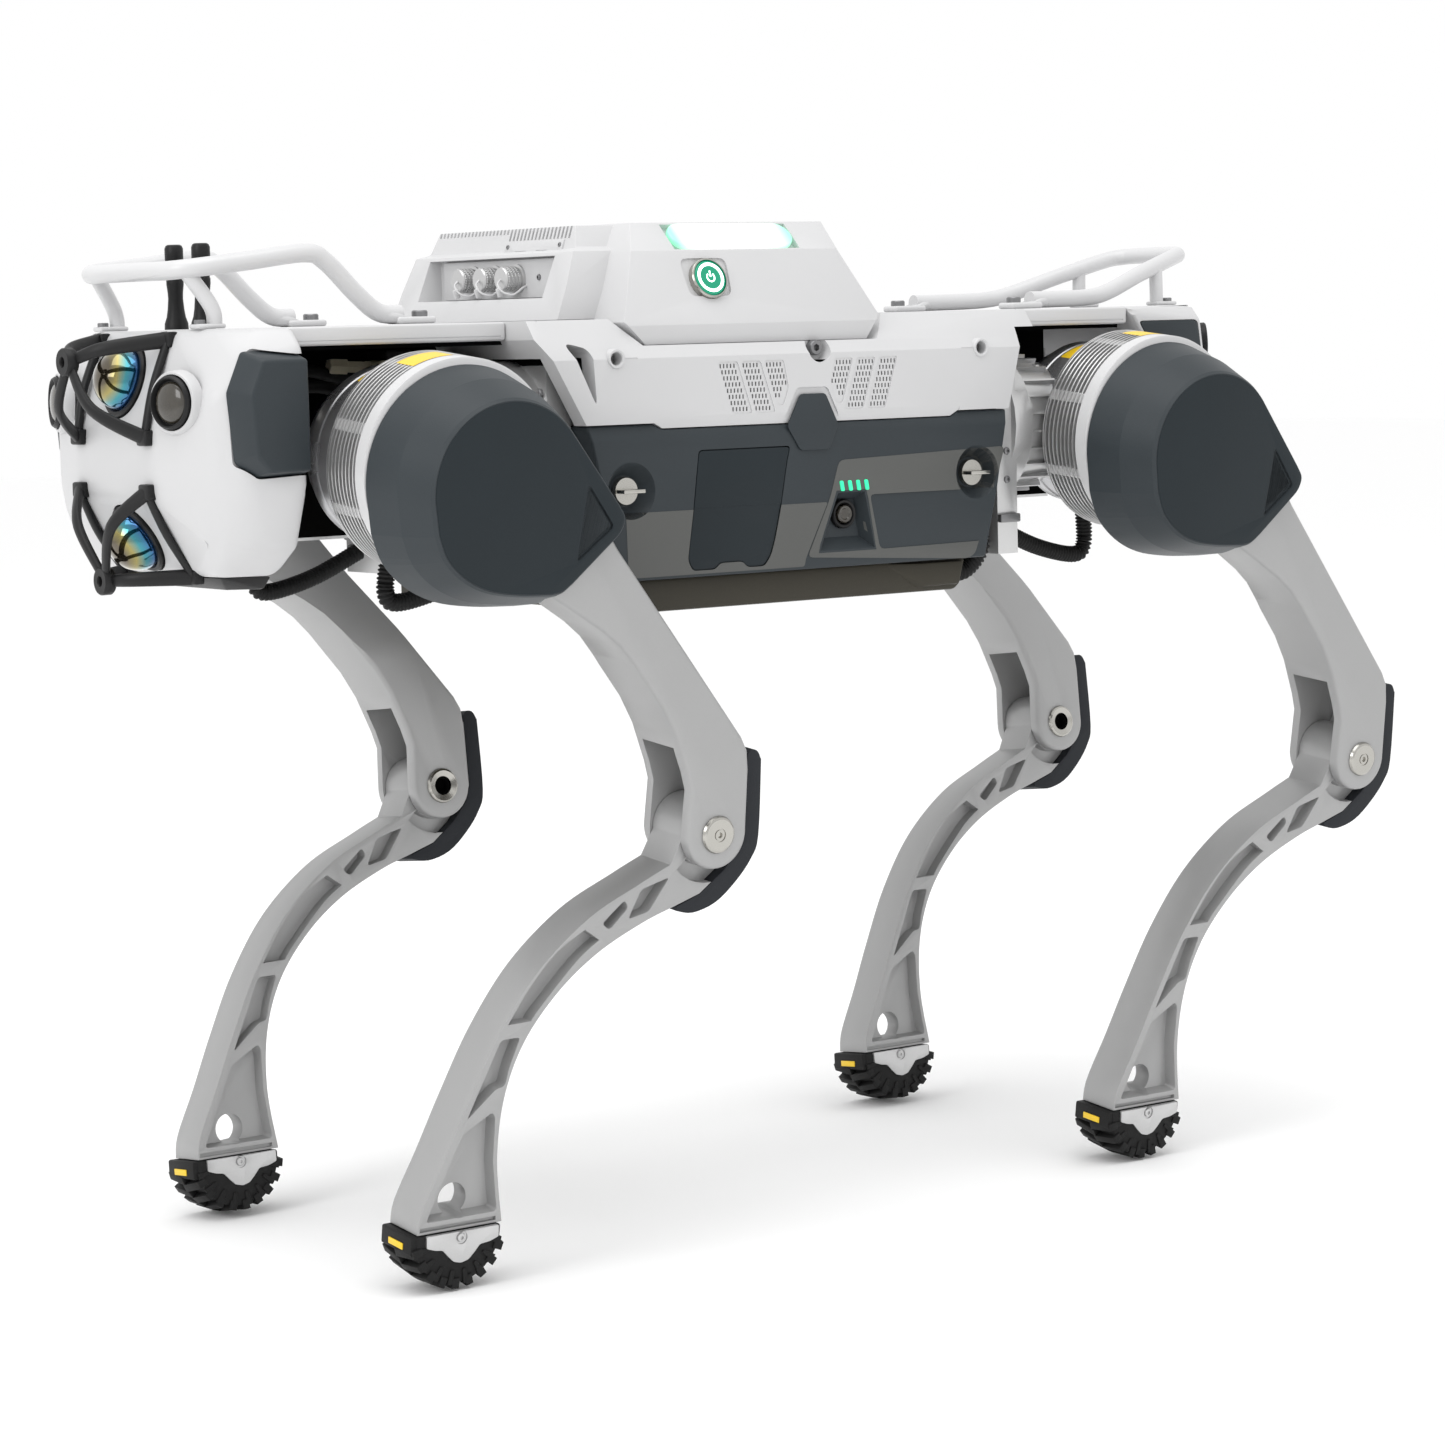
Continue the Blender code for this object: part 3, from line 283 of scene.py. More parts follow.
def olive_moulding():
    return finish("olive_moulding", (0.034, 0.03, 0.02), 0.5, sheen=0.3, tint=0.1, bump=0.18, grain=1100)


def lamp_green():
    return finish("lamp_green", (0.03, 0.55, 0.28), 0.3, tint=0.03, bump=0.02, glow=(0.01, 0.62, 0.26),
                  glow_strength=1.0)


def deep_green():
    return finish("deep_green", (0.0, 0.16, 0.09), 0.25, tint=0.05, bump=0.02, glow=(0.0, 0.5, 0.26),
                  glow_strength=0.35)


def pale_lamp():
    return finish("pale_lamp", (0.9, 1.0, 0.96), 0.3, tint=0.01, bump=0.02, glow=(0.75, 1.0, 0.9),
                  glow_strength=2.2)


def lens_glass():
    return finish("lens_glass", (0.035, 0.03, 0.022), 0.06, tint=0.2, bump=0.0, blotch=160, coat=0.6)


# ---------------------------------------------------------------- making
def place_piece(name, mesh_data, matrix, body, surface, replaced=()):
    """Links a finished mesh as one piece that rides on a body."""
    made = bpy.data.objects.new(name, mesh_data)
    bpy.context.scene.collection.objects.link(made)
    mesh_data.materials.clear()
    mesh_data.materials.append(surface)
    made.matrix_world = matrix
    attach(made, body)
    if replaced:
        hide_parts(*replaced)
    return made


def loose(mesh_data):
    """A mesh as a working object, to be cut, cut with or bevelled."""
    made = bpy.data.objects.new("work", mesh_data)
    bpy.context.scene.collection.objects.link(made)
    return made


def baked(target):
    """The target's mesh with its modifiers applied, in its own frame. The target is removed."""
    bpy.context.view_layer.update()
    result = bpy.data.meshes.new_from_object(
        target.evaluated_get(bpy.context.evaluated_depsgraph_get()))
    bpy.data.objects.remove(target, do_unlink=True)
    return result


def cut(base, *tools):
    """The base mesh with every tool mesh taken out of it, all in one frame."""
    target = loose(base)
    cutters = [loose(tool) for tool in tools]
    for cutter in cutters:
        step = target.modifiers.new("step", "BOOLEAN")
        step.operation = "DIFFERENCE"
        step.solver = "EXACT"
        step.object = cutter
    result = baked(target)
    for cutter in cutters:
        bpy.data.objects.remove(cutter, do_unlink=True)
    return result


def softened(mesh_data, width, segments=2, angle=30, smooth=38):
    """The mesh with its sharp edges rounded and shaded."""
    bm = bmesh.new()
    bm.from_mesh(mesh_data)
    bmesh.ops.remove_doubles(bm, verts=bm.verts, dist=0.00002)
    bmesh.ops.dissolve_degenerate(bm, edges=bm.edges, dist=0.00001)
    bmesh.ops.dissolve_limit(bm, angle_limit=0.01, verts=bm.verts, edges=bm.edges)
    bm.to_mesh(mesh_data)
    bm.free()
    if width:
        target = loose(mesh_data)
        bevel = target.modifiers.new("round", "BEVEL")
        bevel.width = width
        bevel.segments = segments
        bevel.limit_method = "ANGLE"
        bevel.angle_limit = math.radians(angle)
        bevel.use_clamp_overlap = True
        bevel.harden_normals = False
        mesh_data = baked(target)
    mesh_data.shade_smooth()
    mesh_data.set_sharp_from_angle(angle=math.radians(smooth))
    return mesh_data


def merged(*parts):
    """Several closed meshes as one mesh, each part optionally with a matrix."""
    bm = bmesh.new()
    for part in parts:
        mesh_data, matrix = part if isinstance(part, tuple) else (part, None)
        start = len(bm.verts)
        bm.from_mesh(mesh_data)
        if matrix is not None:
            bm.verts.ensure_lookup_table()
            bmesh.ops.transform(bm, matrix=matrix, verts=bm.verts[start:])
            if matrix.determinant() < 0:
                faces = {face for vert in bm.verts[start:] for face in vert.link_faces}
                bmesh.ops.reverse_faces(bm, faces=list(faces))
    made = bpy.data.meshes.new("merged")
    bm.to_mesh(made)
    bm.free()
    return made


def from_bmesh(maker):
    bm = bmesh.new()
    maker(bm)
    bmesh.ops.recalc_face_normals(bm, faces=bm.faces)
    made = bpy.data.meshes.new("shape")
    bm.to_mesh(made)
    bm.free()
    return made


def moved(mesh_data, matrix):
    mesh_data.transform(matrix)
    if matrix.determinant() < 0:
        mesh_data.flip_normals()
    return mesh_data


def side_frame(y=0.0):
    """X forward, Y up: outlines are side views, thick about y."""
    return Matrix.Translation((0, y, 0)) @ Matrix.Rotation(math.pi / 2, 4, "X")


def front_frame(x):
    """X to the robot's left, Y up: outlines are front views, thick about x."""
    return Matrix.Translation((x, 0, 0)) @ Matrix.Rotation(math.pi / 2, 4, "Z") @ Matrix.Rotation(
        math.pi / 2, 4, "X")


def aimed(place, out):
    """A frame at place whose Z points out."""
    turn = Vector(out).to_track_quat("Z", "Y").to_matrix().to_4x4()
    return Matrix.Translation(place) @ turn


def plate(outline, thickness, matrix, holes=()):
    """A flat outline, with holes, filled as a 2D curve and extruded about the matrix's XY plane."""
    curve = bpy.data.curves.new("outline", "CURVE")
    curve.dimensions = "2D"
    curve.fill_mode = "BOTH"
    curve.extrude = thickness / 2
    for ring in (outline, *holes):
        spline = curve.splines.new("POLY")
        spline.points.add(len(ring) - 1)
        for point, (x, y) in zip(spline.points, ring):
            point.co = (x, y, 0, 1)
        spline.use_cyclic_u = True
    flat = bpy.data.objects.new("outline", curve)
    bpy.context.scene.collection.objects.link(flat)
    bpy.context.view_layer.update()
    shape = bpy.data.meshes.new_from_object(flat.evaluated_get(bpy.context.evaluated_depsgraph_get()))
    bpy.data.objects.remove(flat, do_unlink=True)
    bm = bmesh.new()
    bm.from_mesh(shape)
    bmesh.ops.remove_doubles(bm, verts=bm.verts, dist=0.00001)
    bmesh.ops.dissolve_limit(bm, angle_limit=0.001, verts=bm.verts, edges=bm.edges)
    bmesh.ops.recalc_face_normals(bm, faces=bm.faces)
    bm.to_mesh(shape)
    bm.free()
    shape.transform(matrix)
    return shape


def box(low, high):
    low, high = Vector(low), Vector(high)
    size = high - low

    def maker(bm):
        bmesh.ops.create_cube(
            bm, size=1.0, matrix=Matrix.Translation((low + high) / 2) @ Matrix.Diagonal((*size, 1.0)))

    return from_bmesh(maker)


def side_box(side, low, high):
    """A box on one side of the middle plane, whose y values are distances from it."""
    near, far = sorted((side * low[1], side * high[1]))
    return box((low[0], near, low[2]), (high[0], far, high[2]))


def rod(radius, start, end, sides=32, end_radius=None):
    start, end = Vector(start), Vector(end)
    along = end - start
    matrix = aimed((start + end) / 2, along)

    def maker(bm):
        bmesh.ops.create_cone(
            bm, cap_ends=True, segments=sides, radius1=radius,
            radius2=radius if end_radius is None else end_radius, depth=along.length, matrix=matrix)

    return from_bmesh(maker)


def turned(profile, matrix=None, steps=64):
    """A closed solid of revolution about Z from (radius, height) pairs."""

    def maker(bm):
        loops = []
        for radius, height in profile:
            if radius < 1e-6:
                loops.append([bm.verts.new((0, 0, height))])
                continue
            loops.append([bm.verts.new((
                radius * math.cos(2 * math.pi * i / steps), radius * math.sin(2 * math.pi * i / steps),
                height))
                for i in range(steps)])
        for first, second in zip(loops, loops[1:]):
            for i in range(steps):
                j = (i + 1) % steps
                ring = [first[i % len(first)], first[j % len(first)], second[j % len(second)],
                        second[i % len(second)]]
                unique = []
                for vert in ring:
                    if vert not in unique:
                        unique.append(vert)
                if len(unique) > 2:
                    bm.faces.new(unique)

    made = from_bmesh(maker)
    if matrix is not None:
        made.transform(matrix)
    return made


def cap_profile(radius, rise, base, step):
    """The profile of a domed cap from its crown down to its rim, for turned."""
    points = [(0, base + rise)]
    for degrees in range(90 - step, -1, -step):
        angle = math.radians(degrees)
        points.append((radius * math.cos(angle), base + rise * math.sin(angle)))
    return points


def hull(points):
    def maker(bm):
        for point in points:
            bm.verts.new(point)
        bmesh.ops.convex_hull(bm, input=bm.verts)
        bmesh.ops.dissolve_limit(bm, angle_limit=0.01, verts=bm.verts, edges=bm.edges)

    return from_bmesh(maker)


def loft(rings, closed=False):
    def maker(bm):
        loops = [[bm.verts.new(point) for point in ring] for ring in rings]
        pairs = list(zip(loops, loops[1:]))
        if closed:
            pairs.append((loops[-1], loops[0]))
        for low, high in pairs:
            for i in range(len(low)):
                j = (i + 1) % len(low)
                bm.faces.new((low[i], low[j], high[j], high[i]))
        if not closed:
            bm.faces.new(loops[0])
            bm.faces.new(loops[-1])

    return from_bmesh(maker)


def swept(points, radius, sides=16, flat=1.0, up=(0, 0, 1)):
    """A round or oval bar along points; radius is a number or a function of the share along."""
    line = [Vector(p) for p in points]
    rings, total = [], len(line) - 1
    for i, point in enumerate(line):
        along = (line[min(i + 1, total)] - line[max(i - 1, 0)]).normalized()
        side = along.cross(Vector(up))
        if side.length < 0.05:
            side = along.cross(Vector((0, 1, 0)))
        side.normalize()
        over = side.cross(along)
        size = radius(i / total) if callable(radius) else radius
        rings.append([
            point + side * size * math.cos(2 * math.pi * k / sides)
            + over * size * flat * math.sin(2 * math.pi * k / sides) for k in range(sides)])
    return loft(rings)


def arc(centre, radius, first, last, count):
    points = []
    for i in range(count):
        angle = math.radians(first + (last - first) * i / (count - 1))
        points.append((centre[0] + radius * math.cos(angle), centre[1] + radius * math.sin(angle)))
    return points


def through(controls, steps):
    """A smooth line through the control points, steps points to each span."""
    vectors = [Vector(c) for c in controls]
    line = []
    for i in range(len(vectors) - 1):
        before = vectors[max(i - 1, 0)]
        start, end = vectors[i], vectors[i + 1]
        after = vectors[min(i + 2, len(vectors) - 1)]
        for k in range(steps):
            t = k / steps
            line.append(0.5 * (
                2 * start + (end - before) * t
                + (2 * before - 5 * start + 4 * end - after) * t * t
                + (3 * start - before - 3 * end + after) * t ** 3))
    line.append(vectors[-1])
    return [tuple(point) for point in line]


def rounded(outline, radius, steps=4, closed=True):
    """The outline with its corners rounded off; an open one keeps its two ends."""
    points = []
    count = len(outline)
    for i in range(count):
        if not closed and i in (0, count - 1):
            points.append(tuple(outline[i]))
            continue
        here = Vector(outline[i])
        before = Vector(outline[i - 1]) - here
        after = Vector(outline[(i + 1) % count]) - here
        reach = min(radius, before.length * 0.45, after.length * 0.45)
        start, end = here + before.normalized() * reach, here + after.normalized() * reach
        for k in range(steps + 1):
            t = k / steps
            points.append(tuple((1 - t) ** 2 * start + 2 * t * (1 - t) * here + t * t * end))
    return points


def scaled(points, factor, centre):
    cx, cy = centre
    return [(cx + (x - cx) * factor, cy + (y - cy) * factor) for x, y in points]


def mirrored(points):
    return list(points) + [(x, -y, z) for x, y, z in points]


def hex_screw(radius, height, place, out, socket=0.5):
    """A socket-head screw: a plain round head with a hexagon recess."""
    head = turned([
        (0, height), (radius * 0.86, height), (radius, height * 0.8), (radius, 0), (0, 0)], steps=24)
    key = rod(radius * socket, (0, 0, height * 0.35), (0, 0, height * 1.4), sides=6)
    return moved(cut(head, key), aimed(place, out))


def pan_screw(radius, height, place, out):
    """A domed button-head screw with a hexagon recess."""
    dome = turned([
        (0, height), (radius * 0.5, height * 0.92), (radius * 0.85, height * 0.6), (radius, 0.0),
        (radius, -height * 0.2), (0, -height * 0.2)], steps=20)
    key = rod(radius * 0.42, (0, 0, height * 0.3), (0, 0, height * 1.5), sides=6)
    return moved(cut(dome, key), aimed(place, out))


# ---------------------------------------------------------------- legs
def cover_outline():
    """Round over the motor, drawn out aft to a blunt tip, flat below."""
    crown = arc((0.0, -0.004), 0.07, -12, 141, 49)
    tip = rounded([
        crown[-1], (-0.1015, -0.0205), (-0.1085, -0.0305), (-0.104, -0.042), (-0.06, -0.0795),
        (-0.05, -0.0868), (-0.04, -0.0882)], 0.0055, 4, closed=False)
    nose = through([
        (-0.04, -0.0882), (-0.01, -0.0868), (0.018, -0.0822), (0.04, -0.072),
        (0.057, -0.056), (0.0655, -0.037)], 5)
    return crown + tip[1:-1] + nose


def cover_mesh(sections, side):
    centre = (-0.012, -0.016)
    outline = cover_outline()
    return loft([
        [(x, side * o, z) for x, z in scaled(outline, factor, centre)] for o, factor in sections])


def leg_plate(outline, low, high, side, holes=()):
    return plate(outline, high - low, side_frame(side * (low + high) / 2), holes)


def leg_piece(corner, matrix, name, mesh_data, limb, surface, replaced=None):
    """One piece of a leg, riding on one of that leg's bodies."""
    nodes = [f"{corner}_{replaced}"] if replaced else []
    return place_piece(f"{corner}_{name}", mesh_data, matrix, f"{corner}_{limb}", surface,
                       nodes)


def make_cover(corner, side, matrix):
    """Tapered shell with a rim, a chamfer band and a flat face, hollow round the motor."""
    shell = cover_mesh([
        (COVER_OUT - 0.0006, 0.792), (COVER_OUT - 0.003, 0.812), (0.1256, 0.926),
        (0.0988, 1.0), (COVER_IN, 0.996), (COVER_IN, 0.955), (0.123, 0.87), (0.144, 0.79)], side)
    arm = [(-0.035, 0.025), (-0.0925, -0.0475), (-0.14, -0.1075), (-0.076, -0.133),
           (-0.051, -0.087), (-0.018, -0.0665), (0.02, -0.045)]
    way_out = leg_plate(arm, COVER_IN - 0.003, 0.1428, side)
    mark = rounded([(-0.0591, -0.0022), (-0.0513, -0.0562), (-0.0814, -0.0328)], 0.004)
    middle = (-0.064, -0.031)
    recess = loft([
        [(x, side * (COVER_OUT - 0.0016), z) for x, z in scaled(mark, 0.8, middle)],
        [(x, side * (COVER_OUT + 0.0006), z) for x, z in scaled(mark, 1.04, middle)]])
    shell = softened(cut(shell, way_out, recess), 0.0005, 2, 30, 6)
    leg_piece(corner, matrix, "cover_shell", shell, "upper_leg", slate_moulding(),
              "hip_cover")
    # The flat face in the darker slate copy: painted shade over the same moulding as the rim and band.
    face = leg_plate(
        scaled(cover_outline(), 0.782, (-0.012, -0.016)), COVER_OUT - 0.002, COVER_OUT - 0.0001, side)
    leg_piece(corner, matrix, "cover_face", softened(cut(face, recess.copy()), 0.0003, 2), "upper_leg",
              slate_painted_shade())


def make_thigh(corner, side, matrix):
    outline = (
        arc((0, 0), 0.048, -75, 150, 30)
        + [(-0.0905, -0.049), (-0.1205, -0.0863), (-0.1925, -0.1775), (-0.1976, -0.187), (-0.199, -0.2)]
        + arc(KNEE, 0.0235, 176, 364, 24)
        + [(-0.1536, -0.2106), (-0.15, -0.1985), (-0.1397, -0.1725), (-0.129, -0.154), (-0.1058, -0.1242),
           (-0.094, -0.1115), (-0.0801, -0.1008), (-0.0529, -0.0838), (-0.02, -0.064)])
    bar = softened(leg_plate(outline, THIGH_IN, THIGH_OUT, side), 0.0034, 3, 40)
    slot = rod(0.0665, (KNEE[0], side * (LEG_O - 0.0175), KNEE[1]),
               (KNEE[0], side * (LEG_O + 0.0175), KNEE[1]), sides=64)
    bore = rod(0.0083, (KNEE[0], side * 0.08, KNEE[1]), (KNEE[0], side * 0.15, KNEE[1]))
    relief = loft([
        [(x, side * 0.08, z) for x, z in ((0.1, -0.015), (-0.16, -0.015), (-0.16, -0.19), (0.1, -0.19))],
        [(x, side * (COVER_IN + 0.002), z) for x, z in (
            (0.1, 0.15), (-0.16, 0.15), (-0.16, -0.085), (0.1, -0.085))]])
    deep = side_box(side, (-0.16, 0.08, -0.0849), (0.1, COVER_IN + 0.002, 0.1))
    thigh = softened(cut(bar, relief, deep, slot, bore), 0.0006, 2, 40)
    leg_piece(corner, matrix, "thigh_bar", thigh, "upper_leg", blasted_aluminium(),
              "thigh")


def make_pin(corner, side, matrix):
    """Outer cap with a chamfer and a hexagon socket; the inner end is an open chamfered ring."""
    turn = Matrix.Translation((KNEE[0], 0, KNEE[1])) @ Matrix.Rotation(-side * math.pi / 2, 4, "X")
    outer = THIGH_OUT + 0.0003
    cap = turned([
        (0, outer + 0.0022), (0.0036, outer + 0.0022), (0.0037, outer + 0.0017), (0.0044, outer + 0.0017),
        (0.0045, outer + 0.0023), (0.0105, outer + 0.0025), (0.0118, outer + 0.0016), (0.0126, outer),
        (0, outer)], steps=72)
    key = rod(0.0021, (0, 0, outer + 0.0008), (0, 0, outer + 0.004), sides=6)
    shank = turned([
        (0, THIGH_OUT - 0.002), (0.008, THIGH_OUT - 0.002), (0.008, THIGH_IN - 0.0003),
        (0.0126, THIGH_IN - 0.0003), (0.012, THIGH_IN - 0.0016), (0.0108, THIGH_IN - 0.0023),
        (0.0068, THIGH_IN - 0.0012), (0.0064, THIGH_IN + 0.008), (0, THIGH_IN + 0.008)], steps=72)
    made = softened(moved(merged(cut(cap, key), shank), turn), 0, smooth=25)
    leg_piece(corner, matrix, "pin_caps", made, "upper_leg", bright_steel(), "knee_pin")
    # A black cup in the pin's bore: painted shade for the dark inside the hole.
    bore = turned([
        (0, THIGH_IN + 0.0079), (0.0063, THIGH_IN + 0.0079), (0.0063, THIGH_IN + 0.0005),
        (0.0052, THIGH_IN + 0.0005), (0.005, THIGH_IN + 0.006), (0, THIGH_IN + 0.006)], turn, 48)
    leg_piece(corner, matrix, "pin_bore_painted_shade", softened(bore, 0), "upper_leg", painted_shade_black())


def shin_outline():
    rear = through([
        (-0.1495, -0.288), (-0.124, -0.2965), (-0.09, -0.3125), (-0.06, -0.335),
        (-0.035, -0.365), (-0.021, -0.4), (-0.017, -0.44), (-0.0215, -0.4815)], 8)
    front = through([
        (0.0415, -0.4815), (0.0385, -0.466), (0.023, -0.435), (0.007, -0.401),
        (-0.015, -0.359), (-0.044, -0.32), (-0.082, -0.289), (-0.122, -0.27),
        (-0.145, -0.26)], 8)
    web = [(-0.1948, -0.197), (-0.2038, -0.197), (-0.2038, -0.243)]
    heel = [(KNEE[0] + dx, KNEE[1] + dz)
            for dx, dz in ((-0.0245, -0.013), (-0.012, -0.027), (0.006, -0.0405))]
    return web + heel + rear + front + arc(KNEE, 0.0215, -5, 112, 24)


def shin_pockets():
    return (
        [(-0.1225, -0.274), (-0.145, -0.268), (-0.129, -0.2895), (-0.1128, -0.293)],
        [(-0.11, -0.2795), (-0.113, -0.285), (-0.0985, -0.2985), (-0.0925, -0.2935)],
        through([(-0.0796, -0.296), (-0.059, -0.308), (-0.0395, -0.328), (-0.0225, -0.352)], 8)
        + through([(-0.04, -0.3515), (-0.048, -0.342), (-0.074, -0.316), (-0.091, -0.304)], 8),
        [(-0.0176, -0.361), (-0.0325, -0.3608), (-0.0245, -0.38), (-0.0215, -0.392),
         (-0.015, -0.393), (0.007, -0.411)],
        [(0.0095, -0.4195), (-0.0125, -0.4075), (-0.015, -0.411), (-0.014, -0.44),
         (-0.0165, -0.464), (-0.018, -0.4745), (0.036, -0.4745), (0.0265, -0.454)],
    )


def make_shin(corner, side, matrix):
    """S-shaped lower leg, pocketed from both sides down to a central web."""
    low, high = LEG_O - SHIN_WIDE / 2, LEG_O + SHIN_WIDE / 2
    blade = leg_plate(shin_outline(), low, high, side)
    tools = []
    depth = 0.0098
    for outline in shin_pockets():
        curved = len(outline) > 20
        ring = outline if curved else rounded(outline, 0.003)
        middle = Vector((sum(x for x, _ in ring) / len(ring), sum(z for _, z in ring) / len(ring)))
        inner = ring if curved else scaled(ring, 0.93, middle)
        tools.append(loft([
            [(x, side * (low - 0.002), z) for x, z in ring],
            [(x, side * (low + depth), z) for x, z in inner]]))
        tools.append(loft([
            [(x, side * (high - depth), z) for x, z in inner],
            [(x, side * (high + 0.002), z) for x, z in ring]]))
    tools.append(rod(0.0105, (0.0105, side * (low - 0.01), -0.464),
                     (0.0105, side * (high + 0.01), -0.464), 48))
    tools.append(rod(0.0083, (KNEE[0], side * (low - 0.01), KNEE[1]),
                     (KNEE[0], side * (high + 0.01), KNEE[1])))
    for o in (low, high):
        tools.append(side_box(side, (-0.017, o - 0.003, -0.48), (0.04, o + 0.003, -0.4772)))
    hollow = arc(KNEE, 0.034, 200, 318, 12) + arc(KNEE, 0.0236, 318, 200, 12)
    tools.append(leg_plate(hollow, low - 0.002, low + 0.008, side))
    tools.append(leg_plate(hollow, high - 0.008, high + 0.002, side))
    shin = softened(cut(blade, *tools), 0.0008, 2, 35)
    leg_piece(corner, matrix, "shin_blade", shin, "lower_leg", blasted_aluminium(),
              "shin")


def make_guard_strip(corner, side, matrix):
    outer = through([
        (-0.029, 0.049), (-0.032, 0.0518), (-0.0365, 0.051), (-0.0395, 0.046), (-0.0402, 0.04),
        (-0.0402, -0.006), (-0.035, -0.021), (-0.023, -0.0355), (-0.007, -0.048), (0.011, -0.053),
        (0.024, -0.0505)], 4)
    inner = [(0.024, -0.0475), (0.006, -0.041), (-0.0124, -0.0275), (-0.025, -0.0132),
             (-0.029, -0.0022), (-0.029, 0.0445)]
    outline = [(KNEE[0] + dx, KNEE[1] + dz) for dx, dz in outer + inner]
    half = SHIN_WIDE / 2
    strip = softened(leg_plate(outline, LEG_O - half, LEG_O + half, side), 0.0022, 3, 40)
    leg_piece(corner, matrix, "guard_strip", strip, "lower_leg", slate_rubber(),
              "knee_guard")


def make_foot(corner, side, matrix):
    """Half a lugged wheel: a carcass, two staggered rows of tread blocks, and clamp plates."""
    cx, cz = SOLE
    half = FOOT_WIDE / 2
    top = cz + 0.0028
    core = FOOT_ROUND - 0.005
    round_edge = [(cx - core, top)] + arc(SOLE, core, 184, 356, 40) + [(cx + core, top)]
    carcass = leg_plate(round_edge, LEG_O - half + 0.0012, LEG_O + half - 0.0012, side)
    carcass = softened(carcass, 0.0015, 2, 60)
    blocks = []
    for row, sign in ((0, -1), (1, 1)):
        count = 9
        for i in range(count):
            angle = math.radians(188 + (i + (0.5 if row else 0.0)) * (352 - 188) / count)
            wide = math.radians(5.6)
            ring_in = core - 0.0035
            far, near = half, -0.0015
            corners = []
            for a in (angle - wide, angle + wide):
                lean = 0.1
                for o, shift, cut_back in ((far, lean, 0.0016), (near, -lean * 0.3, 0.0)):
                    for radius, narrow in ((ring_in, 1.0), (FOOT_ROUND - cut_back, 0.8)):
                        at = angle + (a - angle) * narrow + shift * 0.6
                        x, z = cx + radius * math.cos(at), cz + radius * math.sin(at)
                        if z < top - 0.0005:
                            corners.append((x, side * (LEG_O + sign * o), z))
            if len(corners) == 8:
                blocks.append(softened(hull(corners), 0.0006, 2, 40))
    for sign in (-1, 1):
        for i in range(8):
            angle = math.radians(194 + i * (346 - 194) / 7)
            corners = []
            for a, radius in ((-3.2, core - 0.009), (3.2, core - 0.009), (-4.2, core + 0.001),
                              (4.2, core + 0.001)):
                at = angle + math.radians(a)
                x, z = cx + radius * math.cos(at), cz + radius * math.sin(at)
                for o in (half - 0.003, half - 0.0002):
                    corners.append((x, side * (LEG_O + sign * o), z))
            blocks.append(softened(hull(corners), 0.0004, 1, 40))
    nose = leg_plate(rounded([
        (cx + core - 0.006, top), (cx + core + 0.003, top), (cx + core + 0.0034, top - 0.012),
        (cx + core - 0.006, top - 0.014)], 0.0015), LEG_O - half + 0.002, LEG_O + half - 0.002, side)
    blocks.append(softened(nose, 0.0008, 2))
    tread = merged(carcass, *blocks)
    leg_piece(corner, matrix, "tread", tread, "lower_leg", black_rubber(), "foot")
    badge = box((cx + core + 0.003, side * LEG_O - 0.0085, top - 0.0098),
                (cx + core + 0.004, side * LEG_O + 0.0085, top - 0.0055))
    leg_piece(corner, matrix, "foot_plate", softened(badge, 0.0004, 2), "lower_leg", yellow_label())
    wave = [
        (0.0365, -0.4822), (0.0365, -0.49), (0.03, -0.4922), (0.0245, -0.493), (0.0205, -0.4975),
        (0.016, -0.5018), (0.0105, -0.5032), (0.005, -0.5018), (0.0005, -0.4975), (-0.0035, -0.493),
        (-0.011, -0.4922), (-0.0175, -0.49), (-0.0175, -0.4822)]
    clamps = []
    for sign in (-1, 1):
        o = LEG_O + sign * (half - 0.0012)
        clamp = leg_plate(rounded(wave, 0.0012), o - 0.0014, o + 0.0014, side)
        out = Vector((0, side * sign, 0))
        face = Vector((0.0105, side * (o + sign * 0.0014), -0.4865))
        well = rod(0.0042, face - out * 0.0012, face + out * 0.003, sides=32)
        clamps.append(softened(cut(clamp, well), 0.0003, 2))
        clamps.append(pan_screw(0.0032, 0.0016, face - out * 0.0012, out))
    leg_piece(corner, matrix, "foot_clamps", softened(merged(*clamps), 0), "lower_leg",
              machined_aluminium())


def curved_patch(radius, o, high, first, last, side, thick=0.0004):
    """A thin label that wraps a drum about the hip axis, angles in degrees from forward."""
    rings = []
    for i in range(13):
        a = math.radians(first + (last - first) * i / 12)
        rings.append([
            (r * math.cos(a), side * w, r * math.sin(a))
            for r, w in ((radius, o), (radius, high), (radius + thick, high), (radius + thick, o))])
    return loft(rings)


